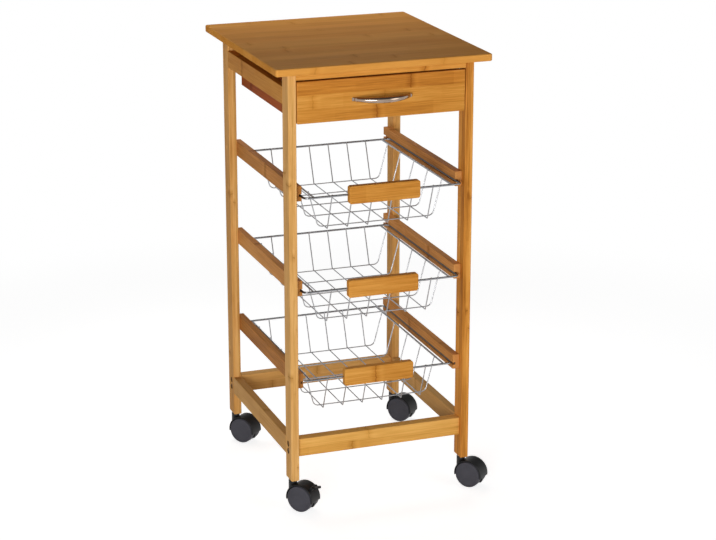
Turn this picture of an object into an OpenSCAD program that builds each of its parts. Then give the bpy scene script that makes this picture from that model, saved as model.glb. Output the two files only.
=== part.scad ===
// Slatted kitchen cart on four twin-wheel casters.
// One drawer sits under the top and three wire baskets slide in grooved wooden rails.
// Units are millimetres, +Z is up, the drawer faces -Y and the floor is at Z = 0.
// The baskets are drawn as far out as they stand on the shop floor, which is the rest position.

/* [Overall size] */
// Width of the tabletop board, left to right
top_w = 370; // [300:1:520]
// Depth of the tabletop board, front to back
top_d = 400; // [300:1:520]
// Height of the tabletop's upper face above the floor
cart_h = 760; // [600:1:950]
// Thickness of the tabletop board
top_t = 12; // [8:0.5:25]
// Radius of the tabletop's corners seen from above
top_corner_r = 5; // [1:0.5:30]

/* [Frame] */
// Width of the frame over the outer faces of the legs
frame_w = 320; // [250:1:480]
// Depth of the frame over the front and rear faces of the legs
frame_d = 360; // [250:1:480]
// How far the tabletop reaches past the legs at the front
top_front_reach = 18; // [0:0.5:60]
// Thickness of a leg, left to right
leg_t = 14; // [10:0.5:30]
// Width of a leg, front to back
leg_w = 30; // [20:0.5:60]
// Height of the legs' cut ends above the floor
leg_end_z = 52; // [45:0.5:90]
// Height of the two side aprons
apron_h = 29; // [20:0.5:70]
// How far the side aprons' upper edges lie below the tabletop
apron_drop = 26; // [2:0.5:40]
// Height of the rear apron, which reaches up to the tabletop
rear_apron_h = 55; // [20:0.5:80]
// Height of the slim rail above the drawer
top_rail_h = 12; // [8:0.5:30]
// Depth of the slim rail above the drawer, front to back
top_rail_d = 22; // [10:0.5:40]
// Set-back of the slim rail from the legs' front faces
top_rail_back = 1; // [0:0.5:10]
// Height of the lower rails that tie the legs together
lower_rail_h = 31; // [20:0.5:50]
// Height of the lower rails' lower edges above the floor
lower_rail_z = 93; // [60:0.5:200]
// Thickness of the lower front and rear rails
cross_rail_t = 19; // [12:0.5:28]
// Set-back of the lower front and rear rails from the faces of the legs
cross_rail_back = 7; // [0:0.5:12]
// Set-back of the rear apron from the rear faces of the legs
rear_apron_back = 3; // [0:0.5:12]

/* [Basket rails] */
// Height of the uppermost basket rail's top edge above the floor
rail_top_z = 560; // [300:0.5:700]
// Step from one basket rail down to the next
rail_step = 161; // [90:0.5:220]
// Height of a basket rail
rail_h = 25.5; // [18:0.5:40]
// Thickness of a basket rail
rail_t = 12; // [8:0.5:20]
// Distance of the rails' ends from the faces of the legs
rail_end_back = 12; // [0:0.5:40]
// Height of the groove that the basket rim runs in
groove_h = 4.6; // [4:0.1:12]
// Depth of that groove
groove_d = 5; // [4:0.5:10]
// Height of wood left under the groove
groove_lip = 7.2; // [4:0.1:12]

/* [Baskets] */
// Thickness of the basket's rim wire
rim_wire = 3.6; // [3:0.1:7]
// Thickness of the other basket wires
mesh_wire = 2; // [1.5:0.1:4]
// Thickness of the two straight wires that a basket's sides hang from
side_wire = 3.2; // [2.5:0.1:6]
// How far those two stand inside the rim, which runs in the rails' grooves
side_wire_in = 16.8; // [10:0.1:30]
// Depth of a basket over the middle of its rim wire
basket_d = 328; // [200:1:460]
// Corner radius of the rim, at the middle of the wire
rim_corner_r = 8; // [6:0.5:40]
// Depth of a basket below its rim
basket_h = 62; // [30:0.5:110]
// How far the front and rear of a basket lean in at its floor
lean_ends = 25; // [5:0.5:60]
// How far the sides of a basket lean in at its floor
lean_sides = 16; // [5:0.5:60]
// Number of wires that run from front to back
long_wires = 6; // [3:1:10]
// Distance of the outer ones from the bends of the side-to-side wires
long_inset = 5.3; // [2:0.1:30]
// Number of wires that run from side to side
cross_wires = 5; // [3:1:9]
// Distance of the outer ones from the bends of the front-to-back wires
cross_inset = 9.1; // [2:0.1:30]
// Bend radius of the side-to-side wires at the floor, the others have a sharp bend
wide_bend = 10; // [4:0.5:25]
// How far the rim's front stands behind the legs' front faces when a basket is shut
shut_back = 17; // [14:0.5:60]
// How far the upper basket is drawn out at rest
upper_out = 25; // [0:1:150]
// How far the middle basket is drawn out at rest
middle_out = 20; // [0:1:150]
// How far the lower basket is drawn out at rest
lower_out = 0; // [0:1:150]
// Width of the wooden basket handles
grip_w = 123; // [60:1:200]
// Height of the wooden basket handles
grip_h = 30; // [18:0.5:50]
// Thickness of the wooden basket handles
grip_t = 12; // [8:0.5:20]
// Radius of the handles' corners seen from the front
grip_corner_r = 4; // [1:0.5:14]

/* [Drawer] */
// Height of the drawer front
front_h = 68.5; // [40:0.5:110]
// Thickness of the drawer front
front_t = 12; // [8:0.5:20]
// Gap between the drawer front and the slim rail above it
front_gap = 2.5; // [1:0.5:8]
// Gap between the drawer and the frame on each side
drawer_gap = 1.5; // [0.5:0.1:4]
// Depth of the drawer box, from the back of the front board to its rear face
box_d = 290; // [150:1:330]
// Height of the drawer box's sides
box_h = 56; // [30:0.5:90]
// Thickness of the drawer box's sides and back
box_t = 12; // [8:0.5:16]
// Thickness of the drawer's bottom panel
panel_t = 3; // [2:0.5:6]
// How far the panel sits in the grooves of the drawer box
panel_in = 5; // [2:0.5:7]
// Height of the wood under the bottom panel
panel_low = 5; // [3:0.5:10]
// Height of the wooden runners
runner_h = 9; // [6:0.5:16]
// Width of the wooden runners, out from the frame
runner_w = 6; // [4:0.5:9]

/* [Drawer pull] */
// Length of the bow pull
pull_l = 104; // [60:1:160]
// How far the bow stands out from the drawer front
pull_out = 27; // [18:0.5:45]
// Height of the bow at its middle
pull_h = 10; // [5:0.5:16]
// Height of the bow at its ends
pull_end_h = 6; // [4:0.5:12]
// Thickness of the bow at its middle
pull_t = 9; // [4:0.5:14]
// Length of the flat pads at the bow's ends
pull_pad = 8.5; // [5:0.5:15]
// Distance between the two pull screws
pull_pitch = 92; // [40:1:140]
// Diameter of the bow's two feet
pull_foot_d = 6.8; // [5:0.1:10]
// Diameter of the pull screws
pull_screw_d = 4; // [3:0.5:6]
// Diameter of the pull screws' heads
pull_screw_head_d = 7.4; // [5:0.1:10]
// Depth that those heads sink into the back of the drawer front
pull_screw_sink = 2.5; // [1:0.5:6]

/* [Casters] */
// Diameter of the caster wheels
wheel_d = 46; // [30:0.5:60]
// Distance of the axle from the stem, seen from above
trail = 20; // [6:0.5:30]
// Direction in which the casters trail, counted from +X
caster_turn = -50; // [-180:1:180]
// Width over the outer faces of the two wheels
wheel_span = 30; // [20:0.2:50]
// Thickness of the hood's web between the wheels
web_t = 5; // [3:0.2:10]
// Thickness of the hood over the wheels
hood_t = 1.6; // [1:0.1:4]
// Gap between the wheels' treads and the hood
hood_gap = 1; // [0.5:0.1:3]
// Diameter of the caster stems
stem_d = 7; // [5:0.5:8]
// Length of stem inside a leg
stem_in = 30; // [15:1:60]
// Diameter of the wheel axles
axle_d = 5; // [3:0.5:8]
// Thickness of the closed wheel faces over the axle's ends
hub_cap = 0.9; // [0.5:0.1:3]

/* [Fasteners and fits] */
// Diameter of the dowels in the frame joints
dowel_d = 6; // [4:0.5:8]
// Length of those dowels
dowel_l = 20; // [12:0.5:40]
// Diameter of the frame bolts
bolt_d = 5; // [4:0.5:6]
// Height between the two bolts in one leg
bolt_step = 13; // [11:0.5:18]
// Diameter of the bolt heads
bolt_head_d = 8.5; // [7:0.5:11]
// Height of the bolt heads
bolt_head_h = 3; // [2:0.5:5]
// Depth of the bolt heads' faces below the legs' outer faces
bolt_sink = 1.5; // [0:0.5:4]
// How far a bolt reaches past the middle of its nut
bolt_past = 4; // [2:0.5:8]
// Diameter of the barrel nuts
nut_d = 9; // [8:0.5:11]
// Distance of the barrel nuts' middle from the legs' inner faces
nut_in = 24; // [16:0.5:40]
// Length by which a barrel nut falls short of its rail's thickness
nut_short = 4; // [1:0.5:8]
// Diameter of the small wood screws
screw_d = 2.8; // [2:0.1:4]
// Diameter of those screws' heads
screw_head_d = 5.8; // [4:0.1:8]
// Height of the sunk heads of the rail screws
screw_head_h = 1.4; // [0.8:0.1:3]
// Length of the rail screws below their heads
rail_screw_l = 12; // [6:0.5:16]
// Radial clearance between a turning part and its pin
turn_fit = 0.05; // [0.02:0.01:0.1]
// Clearance between other parts that move past each other
slide_fit = 0.5; // [0.3:0.1:1]
// How deep welded wires sink into each other
weld = 0.15; // [0.05:0.01:0.3]

/* [Show] */
// Which part to draw

/* [Hidden] */
$fn = 48;
eps = 0.01;

// Shared positions
leg_x = frame_w / 2;
leg_y = frame_d / 2;
in_x = leg_x - leg_t;
leg_cx = leg_x - leg_t / 2;
leg_cy = leg_y - leg_w / 2;
top_z = cart_h - top_t;
apron_low_z = top_z - apron_drop - apron_h;
top_y0 = -leg_y - top_front_reach;
// The footprint is centred on the origin, from the pull's bow to the tabletop's rear edge
mid_y = (-leg_y - pull_out + top_y0 + top_d) / 2;

rail_tops = [rail_top_z, rail_top_z - rail_step, rail_top_z - 2 * rail_step];
groove_mid = groove_lip + groove_h / 2;
rim_x = in_x - rail_t + rim_wire / 2 + slide_fit;
rim_zs = [for (z = rail_tops) z - rail_h + groove_mid];
rim_outs = [upper_out, middle_out, lower_out];
rim_ys = [for (o = rim_outs) -leg_y + shut_back - o];
wire_r = mesh_wire / 2;
rim_r = rim_wire / 2;
side_r = side_wire / 2;
side_x = rim_x - side_wire_in;
// How far the wires' ends reach past the middle of the thicker wire that they hang from
tail = 0.6;
cross_drop = basket_h - 2 * wire_r + weld;

// Where the flat stretch of a hung wire starts, measured from the middle of the wire that holds it
function off(hold_r) = hold_r + wire_r - weld;
function slope(lean, drop) = atan2(drop, lean);
function foot(a, drop, hold_r) = off(hold_r) * sin(a) + (off(hold_r) * cos(a) + drop) / tan(a);
function bend_l(a, bend_r) = bend_r * tan(a / 2);
function flat_start(a, drop, bend_r, hold_r) = foot(a, drop, hold_r) + bend_l(a, bend_r);
cross_flat = side_x - flat_start(slope(lean_sides, cross_drop), cross_drop, wide_bend, side_r);
long_flat = basket_d / 2 - flat_start(slope(lean_ends, basket_h), basket_h, 0, rim_r);
long_step = 2 * (cross_flat - long_inset) / (long_wires - 1);
cross_step = 2 * (long_flat - cross_inset) / (cross_wires - 1);

front_top = top_z - top_rail_h - front_gap;
front_low = front_top - front_h;
box_low = front_low + 2;
box_y0 = -leg_y + front_t;
box_y1 = box_y0 + box_d;
box_x = in_x - drawer_gap;
runner_z = apron_low_z + apron_h / 2;
pull_z = front_low + front_h / 2;

wheel_r = wheel_d / 2;
hood_in_r = wheel_r + hood_gap;
hood_r = hood_in_r + hood_t;
hood_half = wheel_span / 2 - 0.8;
face_dip = 0.6;
bore_end = wheel_span / 2 - face_dip - hub_cap;
neck_r = 7.2;
flange_t = 1.2;
neck_top = leg_end_z - flange_t - 0.3;
stem_low = wheel_r + sqrt(pow(wheel_r + 0.6, 2) - pow(trail - stem_d / 2, 2)) + 1.2;
pivot_r = hood_r + 3.4;
pivot_a = 45;
pivot_x = trail + pivot_r * cos(pivot_a);
pivot_z = wheel_r + pivot_r * sin(pivot_a);
lever_half = 6;
tab_l = 11.9;
far = 4 * hood_r;

// The handle's screws stand halfway between two wires
grip_screw_x = long_step;
grip_screw_z = rim_r + screw_d / 2 + 0.2;

cross_cy = leg_y - cross_rail_back - cross_rail_t / 2;
bolt_cz = lower_rail_z + lower_rail_h / 2;
nut_x = in_x - nut_in;
bolt_neck = bolt_sink + bolt_head_h;
bolt_end = leg_t + nut_in + bolt_past;
rear_apron_cy = leg_y - rear_apron_back - leg_t / 2;

bamboo = [0.83, 0.6, 0.33];
dark_bamboo = [0.62, 0.42, 0.24];
steel = [0.72, 0.72, 0.74];
zinc = [0.6, 0.6, 0.62];
black = [0.1, 0.1, 0.11];
grey = [0.27, 0.27, 0.3];

// Puts the frame's own centre where the footprint is centred on the origin
module placed() {
    translate([0, -mid_y, 0]) children();
}

// A box given by its two opposite corners
module block(lo, hi) {
    translate(lo) cube(hi - lo);
}

// A round bar along X, Y or Z, from a start point
module bar_x(p, r, l) {
    translate(p) rotate([0, 90, 0]) cylinder(r = r, h = l);
}
module bar_y(p, r, l) {
    translate(p) rotate([-90, 0, 0]) cylinder(r = r, h = l);
}
module bar_z(p, r, l) {
    translate(p) cylinder(r = r, h = l);
}

// Fasteners: each is drawn once here, and the same shape cuts its hole
module one_bolt() {
    // Along +X from the head's outer face, which is sunk in the leg
    bar_x([bolt_sink, 0, 0], bolt_head_d / 2, bolt_head_h);
    bar_x([bolt_neck, 0, 0], bolt_d / 2, bolt_end - bolt_neck);
}
module bolt_set(cut = false) {
    for (sx = [-1, 1]) {
        for (sy = [-1, 1]) {
            for (sz = [-1, 1]) {
                translate([sx * leg_x, sy * cross_cy, bolt_cz + sz * bolt_step / 2])
                    mirror([sx > 0 ? 1 : 0, 0, 0])
                        if (cut) {
                            bar_x([-1, 0, 0], bolt_head_d / 2, bolt_neck + 1);
                            bar_x([bolt_sink, 0, 0], bolt_d / 2, bolt_end - bolt_sink);
                        } else {
                            difference() {
                                one_bolt();
                                bar_x([0, 0, 0], bolt_d * 0.4, bolt_sink + bolt_head_h * 0.6, $fn = 6);
                            }
                        }
            }
        }
    }
}
module nut_set(cut = false) {
    for (sx = [-1, 1]) {
        for (sy = [-1, 1]) {
            for (sz = [-1, 1]) {
                z = bolt_cz + sz * bolt_step / 2;
                // Sunk a little below the rail's rear face, in a hole that is open there
                face = sy * cross_cy + cross_rail_t / 2;
                y0 = face - cross_rail_t + nut_short;
                y1 = face + (cut ? 1 : -slide_fit);
                bar_y([sx * nut_x, y0, z], nut_d / 2, y1 - y0);
            }
        }
    }
}
module dowel_set() {
    for (sx = [-1, 1]) {
        for (sy = [-1, 1]) {
            y = sy > 0 ? leg_y - leg_w - dowel_l / 2 : -(leg_y - leg_w) - dowel_l / 2;
            for (z = [apron_low_z + apron_h / 4, apron_low_z + apron_h * 3 / 4])
                bar_y([sx * leg_cx, y, z], dowel_d / 2, dowel_l);
            for (z = [bolt_cz - lower_rail_h / 4, bolt_cz + lower_rail_h / 4])
                bar_y([sx * leg_cx, y, z], dowel_d / 2, dowel_l);
        }
        // Two fifths of a cross dowel sit in the leg
        x0 = sx > 0 ? in_x - dowel_l * 0.6 : -in_x - dowel_l * 0.4;
        bar_x([x0, -leg_y + top_rail_back + top_rail_d / 2, top_z - top_rail_h / 2], dowel_d / 2, dowel_l);
        for (z = [top_z - rear_apron_h * 3 / 4, top_z - rear_apron_h / 4])
            bar_x([x0, rear_apron_cy, z], dowel_d / 2, dowel_l);
    }
}
module rail_screw_set() {
    for (i = [0:2]) {
        z = rail_tops[i] - rail_h + groove_mid;
        for (sx = [-1, 1]) {
            for (sy = [-1, 1]) {
                translate([sx * (in_x - rail_t + groove_d), sy * leg_cy, z])
                    mirror([sx < 0 ? 1 : 0, 0, 0]) {
                        rotate([0, 90, 0])
                            cylinder(r1 = screw_head_d * 0.45, r2 = screw_d / 2, h = screw_head_h);
                        bar_x([screw_head_h - eps, 0, 0], screw_d / 2, rail_screw_l);
                    }
            }
        }
    }
}
module top_screw_set(cut = false) {
    // Up through the slim rail and the rear apron's cleat into the tabletop
    for (sx = [-1, 1]) {
        x = sx * in_x * 0.6;
        translate([x, -leg_y + top_rail_back + top_rail_d / 2, top_z - top_rail_h])
            top_screw(cut);
        translate([x, rear_apron_cy, top_z - top_rail_h])
            top_screw(cut);
    }
}
module top_screw(cut) {
    if (cut)
        bar_z([0, 0, -rear_apron_h], 3.6, rear_apron_h + 3);
    else
        difference() {
            bar_z([0, 0, 0.4], 3.5, 2.6);
            bar_z([0, 0, 0], 1.4, 1.6);
        }
    bar_z([0, 0, 3 - (cut ? eps : 0)], 1.9, top_rail_h - 3 + 7);
}

// A wooden board with the frame's fastener holes taken out
module drilled(dowels = true, bolts = false, nuts = false, screws = false, tops = false) {
    difference() {
        children();
        if (dowels) dowel_set();
        if (bolts) bolt_set(cut = true);
        if (nuts) nut_set(cut = true);
        if (screws) rail_screw_set();
        if (tops) top_screw_set(cut = true);
    }
}

// Frame
module tabletop() {
    r = top_corner_r;
    x = top_w / 2;
    y0 = top_y0;
    y1 = top_y0 + top_d;
    color(bamboo) placed() drilled(dowels = false, tops = true) union() {
        block([-x + r, y0, top_z], [x - r, y1, cart_h]);
        block([-x, y0 + r, top_z], [x, y1 - r, cart_h]);
        for (sx = [-1, 1])
            for (y = [y0 + r, y1 - r])
                bar_z([sx * (x - r), y, top_z], r, top_t);
    }
}
module leg(sx, sy) {
    color(bamboo) placed() difference() {
        drilled(bolts = true, screws = true)
            block([sx > 0 ? in_x : -leg_x, sy > 0 ? leg_y - leg_w : -leg_y, leg_end_z],
                  [sx > 0 ? leg_x : -in_x, sy > 0 ? leg_y : -leg_y + leg_w, top_z]);
        bar_z([sx * leg_cx, sy * leg_cy, leg_end_z - 1], stem_d / 2, stem_in + 1);
    }
}
module leg_front_left() { leg(-1, -1); }
module leg_front_right() { leg(1, -1); }
module leg_rear_left() { leg(-1, 1); }
module leg_rear_right() { leg(1, 1); }

module side_board(sx, z, h) {
    y = leg_y - leg_w;
    color(bamboo) placed() drilled()
        block([sx > 0 ? in_x : -leg_x, -y, z], [sx > 0 ? leg_x : -in_x, y, z + h]);
}
module side_apron_left() { side_board(-1, apron_low_z, apron_h); }
module side_apron_right() { side_board(1, apron_low_z, apron_h); }
module lower_side_rail_left() { side_board(-1, lower_rail_z, lower_rail_h); }
module lower_side_rail_right() { side_board(1, lower_rail_z, lower_rail_h); }

module rear_apron() {
    y0 = rear_apron_cy - leg_t / 2;
    color(bamboo) placed() drilled(tops = true)
        block([-in_x, y0, top_z - rear_apron_h], [in_x, y0 + leg_t, top_z]);
}
module top_front_rail() {
    y0 = -leg_y + top_rail_back;
    color(bamboo) placed() drilled(tops = true)
        block([-in_x, y0, top_z - top_rail_h], [in_x, y0 + top_rail_d, top_z]);
}
module cross_rail(sy) {
    y0 = sy * cross_cy - cross_rail_t / 2;
    color(bamboo) placed() drilled(dowels = false, bolts = true, nuts = true)
        block([-in_x, y0, lower_rail_z], [in_x, y0 + cross_rail_t, lower_rail_z + lower_rail_h]);
}
module lower_front_rail() { cross_rail(-1); }
module lower_rear_rail() { cross_rail(1); }

// Basket rails, with the groove open to the inside and through both ends
module basket_rail(i, sx) {
    z0 = rail_tops[i] - rail_h;
    y = leg_y - rail_end_back;
    color(dark_bamboo) placed() drilled(dowels = false, screws = true)
        mirror([sx < 0 ? 1 : 0, 0, 0]) difference() {
            block([in_x - rail_t, -y, z0], [in_x, y, z0 + rail_h]);
            block([in_x - rail_t - 1, -y - 1, z0 + groove_lip],
                  [in_x - rail_t + groove_d, y + 1, z0 + groove_lip + groove_h]);
        }
}
module basket_rail_upper_left() { basket_rail(0, -1); }
module basket_rail_upper_right() { basket_rail(0, 1); }
module basket_rail_middle_left() { basket_rail(1, -1); }
module basket_rail_middle_right() { basket_rail(1, 1); }
module basket_rail_lower_left() { basket_rail(2, -1); }
module basket_rail_lower_right() { basket_rail(2, 1); }

module runner(sx) {
    y = leg_y - front_t - 3;
    color(dark_bamboo) placed() mirror([sx < 0 ? 1 : 0, 0, 0])
        block([in_x - runner_w, -y, runner_z - runner_h / 2],
              [in_x, rear_apron_cy - leg_t / 2, runner_z + runner_h / 2]);
}
module drawer_runner_left() { runner(-1); }
module drawer_runner_right() { runner(1); }

module frame_bolts() { color(zinc) placed() bolt_set(); }
module barrel_nuts() {
    color(zinc) placed() difference() {
        nut_set();
        bolt_set(cut = true);
    }
}
module frame_dowels() { color(dark_bamboo) placed() dowel_set(); }
module rail_screws() { color(zinc) placed() rail_screw_set(); }
module top_screws() { color(zinc) placed() top_screw_set(); }

// Drawer
module drawer_front() {
    color(bamboo) placed() difference() {
        block([-box_x, -leg_y, front_low], [box_x, box_y0, front_top]);
        for (sx = [-1, 1]) {
            bar_y([sx * pull_pitch / 2, -leg_y - 1, pull_z], pull_screw_d / 2, front_t + 2);
            bar_y([sx * pull_pitch / 2, box_y0 - pull_screw_sink, pull_z],
                  pull_screw_head_d / 2 + 0.3, pull_screw_sink + 0.5);
        }
        block([-box_x + box_t - panel_in, box_y0 - panel_in, box_low + panel_low],
              [box_x - box_t + panel_in, box_y0 + 1, box_low + panel_low + panel_t]);
    }
}
module drawer_side(sx) {
    color(dark_bamboo) placed() mirror([sx < 0 ? 1 : 0, 0, 0]) difference() {
        block([box_x - box_t, box_y0, box_low], [box_x, box_y1, box_low + box_h]);
        block([in_x - runner_w - slide_fit, box_y0 - 1, runner_z - runner_h / 2 - slide_fit],
              [box_x + 1, box_y1 + 1, runner_z + runner_h / 2 + slide_fit]);
        block([box_x - box_t - 1, box_y0 - 1, box_low + panel_low],
              [box_x - box_t + panel_in, box_y1 - box_t + panel_in, box_low + panel_low + panel_t]);
    }
}
module drawer_side_left() { drawer_side(-1); }
module drawer_side_right() { drawer_side(1); }
module drawer_back() {
    color(dark_bamboo) placed() difference() {
        block([-box_x + box_t, box_y1 - box_t, box_low], [box_x - box_t, box_y1, box_low + box_h]);
        block([-box_x, box_y1 - box_t - 1, box_low + panel_low],
              [box_x, box_y1 - box_t + panel_in, box_low + panel_low + panel_t]);
    }
}
module drawer_bottom() {
    x = box_x - box_t + panel_in;
    color(bamboo) placed()
        block([-x, box_y0 - panel_in, box_low + panel_low],
              [x, box_y1 - box_t + panel_in, box_low + panel_low + panel_t]);
}

// The bow pull: a crescent seen from above, lower at its ends than at its middle
module drawer_pull() {
    half = pull_l / 2;
    out_r = (pow(half, 2) + pow(pull_out, 2)) / (2 * pull_out);
    in_half = half - pull_pad;
    in_out = pull_out - pull_t;
    in_r = (pow(in_half, 2) + pow(in_out, 2)) / (2 * in_out);
    sag = (pull_h - pull_end_h) / 2;
    tall_r = (pow(half, 2) + pow(sag, 2)) / (2 * sag);
    color(steel) placed() difference() {
        union() {
            intersection() {
                translate([0, -leg_y - pull_out + out_r, pull_z - pull_h / 2])
                    cylinder(r = out_r, h = pull_h, $fn = 180);
                block([-half - 1, -leg_y - pull_out - 1, pull_z - pull_h],
                      [half + 1, -leg_y, pull_z + pull_h]);
                for (sz = [-1, 1])
                    bar_y([0, -leg_y - pull_out - 1, pull_z - sz * (pull_h / 2 - tall_r)],
                          tall_r, pull_out + 2, $fn = 240);
            }
            for (sx = [-1, 1])
                bar_y([sx * pull_pitch / 2, -leg_y - 5, pull_z], pull_foot_d / 2, 5);
        }
        difference() {
            translate([0, -leg_y - in_out + in_r, pull_z - pull_h])
                cylinder(r = in_r, h = 2 * pull_h, $fn = 180);
            for (sx = [-1, 1])
                bar_y([sx * pull_pitch / 2, -leg_y - pull_out, pull_z], pull_foot_d / 2, 2 * pull_out);
        }
        for (sx = [-1, 1])
            bar_y([sx * pull_pitch / 2, -leg_y - 4, pull_z], pull_screw_d / 2, 5);
    }
}
module pull_screws() {
    color(zinc) placed() for (sx = [-1, 1]) {
        bar_y([sx * pull_pitch / 2, -leg_y - 4, pull_z], pull_screw_d / 2, front_t + 4 - pull_screw_sink);
        difference() {
            bar_y([sx * pull_pitch / 2, box_y0 - pull_screw_sink, pull_z],
                  pull_screw_head_d / 2, pull_screw_sink - 0.3);
            bar_y([sx * pull_pitch / 2, box_y0 - pull_screw_sink + 1, pull_z], 1.4, 3);
        }
    }
}

// Baskets
module joint_ball(p) {
    // Joins two lengths of wire, a hair thicker than they are
    translate(p) sphere(r = wire_r + 0.05);
}

// Half of a wire that hangs from two thicker ones: the lean and its bend at the floor
module wire_side(lean, drop, bend_r, hold_r) {
    // In the YZ plane, with the thicker wire's centre at the origin and the basket's inside at +Y
    a = slope(lean, drop);
    run = (off(hold_r) * cos(a) + drop) / sin(a);
    cy = foot(a, drop, hold_r);
    tan_l = bend_l(a, bend_r);
    gap = 0.12;
    translate([0, off(hold_r) * sin(a), off(hold_r) * cos(a)]) rotate([-90 - a, 0, 0])
        translate([0, 0, -tail]) cylinder(r = wire_r, h = run + tail - tan_l - (bend_r > 0 ? gap : 0));
    if (bend_r > 0) {
        joint_ball([0, cy - tan_l * cos(a), -drop + tan_l * sin(a)]);
        translate([0, cy + tan_l, -drop + bend_r]) rotate([90, 0, 90]) rotate([0, 0, 270 - a])
            rotate_extrude(angle = a) translate([bend_r, 0]) circle(r = wire_r);
    }
    joint_ball([0, cy + tan_l, -drop]);
}
module hung_wire(lean, drop, span, bend_r, hold_r) {
    y0 = flat_start(slope(lean, drop), drop, bend_r, hold_r) + (bend_r > 0 ? 0.12 : 0);
    wire_side(lean, drop, bend_r, hold_r);
    translate([0, span, 0]) mirror([0, 1, 0]) wire_side(lean, drop, bend_r, hold_r);
    bar_y([0, y0, -drop], wire_r, span - 2 * y0);
}
module basket_wires(i) {
    color(steel) placed() translate([0, rim_ys[i], rim_zs[i]]) union() {
        for (k = [0:long_wires - 1])
            translate([(k - (long_wires - 1) / 2) * long_step, 0, 0])
                hung_wire(lean_ends, basket_h, basket_d, 0, rim_r);
        for (k = [0:cross_wires - 1])
            translate([-side_x, basket_d / 2 + (k - (cross_wires - 1) / 2) * cross_step, 0])
                rotate([0, 0, -90]) hung_wire(lean_sides, cross_drop, 2 * side_x, wide_bend, side_r);
    }
}
module basket_rim(i) {
    r = rim_corner_r;
    x = rim_x;
    y0 = 0;
    y1 = basket_d;
    color(steel) placed() translate([0, rim_ys[i], rim_zs[i]]) union() {
        for (y = [y0, y1])
            bar_x([-x + r, y, 0], rim_r, 2 * (x - r));
        for (sx = [-1, 1]) {
            bar_y([sx * x, y0 + r, 0], rim_r, y1 - y0 - 2 * r);
            bar_y([sx * side_x, y0, 0], side_r, y1 - y0);
        }
        translate([x - r, y1 - r, 0]) rim_elbow(r);
        translate([-x + r, y1 - r, 0]) rotate([0, 0, 90]) rim_elbow(r);
        translate([-x + r, y0 + r, 0]) rotate([0, 0, 180]) rim_elbow(r);
        translate([x - r, y0 + r, 0]) rotate([0, 0, 270]) rim_elbow(r);
    }
}
module rim_elbow(r) {
    rotate_extrude(angle = 90) translate([r, 0]) circle(r = rim_r);
}
module basket_handle(i) {
    w = grip_w / 2;
    h = grip_h / 2;
    r = grip_corner_r;
    y0 = -grip_t * 0.65;
    y1 = y0 + grip_t;
    color(bamboo) placed() translate([0, rim_ys[i], rim_zs[i]]) difference() {
        union() {
            block([-w + r, y0, -h], [w - r, y1, h]);
            block([-w, y0, -h + r], [w, y1, h - r]);
            for (sx = [-1, 1])
                for (sz = [-1, 1])
                    bar_y([sx * (w - r), y0, sz * (h - r)], r, grip_t);
        }
        bar_x([-w - 1, 0, 0], rim_r, grip_w + 2);
        block([-w - 1, 0, -rim_r], [w + 1, y1 + 1, rim_r]);
        for (k = [0:long_wires - 1]) {
            x = (k - (long_wires - 1) / 2) * long_step;
            block([x - wire_r - 0.4, 0, -h - 1], [x + wire_r + 0.4, y1 + 1, rim_r + wire_r + 3]);
        }
        handle_screw_set();
    }
}
module handle_screw_set() {
    // Two screws behind each handle, whose heads hold the rim wire in its slot
    for (sx = [-1, 1])
        for (sz = [-1, 1])
            translate([sx * grip_screw_x, 0, sz * grip_screw_z])
                bar_y([0, -grip_t / 3, 0], screw_d / 2, grip_t * 0.35 + grip_t / 3);
}
module handle_screws(i) {
    color(zinc) placed() translate([0, rim_ys[i], rim_zs[i]]) {
        handle_screw_set();
        for (sx = [-1, 1])
            for (sz = [-1, 1])
                bar_y([sx * grip_screw_x, grip_t * 0.35, sz * grip_screw_z], screw_head_d / 2, 1.6);
    }
}
module basket_rim_upper() { basket_rim(0); }
module basket_rim_middle() { basket_rim(1); }
module basket_rim_lower() { basket_rim(2); }
module basket_wires_upper() { basket_wires(0); }
module basket_wires_middle() { basket_wires(1); }
module basket_wires_lower() { basket_wires(2); }
module basket_handle_upper() { basket_handle(0); }
module basket_handle_middle() { basket_handle(1); }
module basket_handle_lower() { basket_handle(2); }
module handle_screws_upper() { handle_screws(0); }
module handle_screws_middle() { handle_screws(1); }
module handle_screws_lower() { handle_screws(2); }

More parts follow.
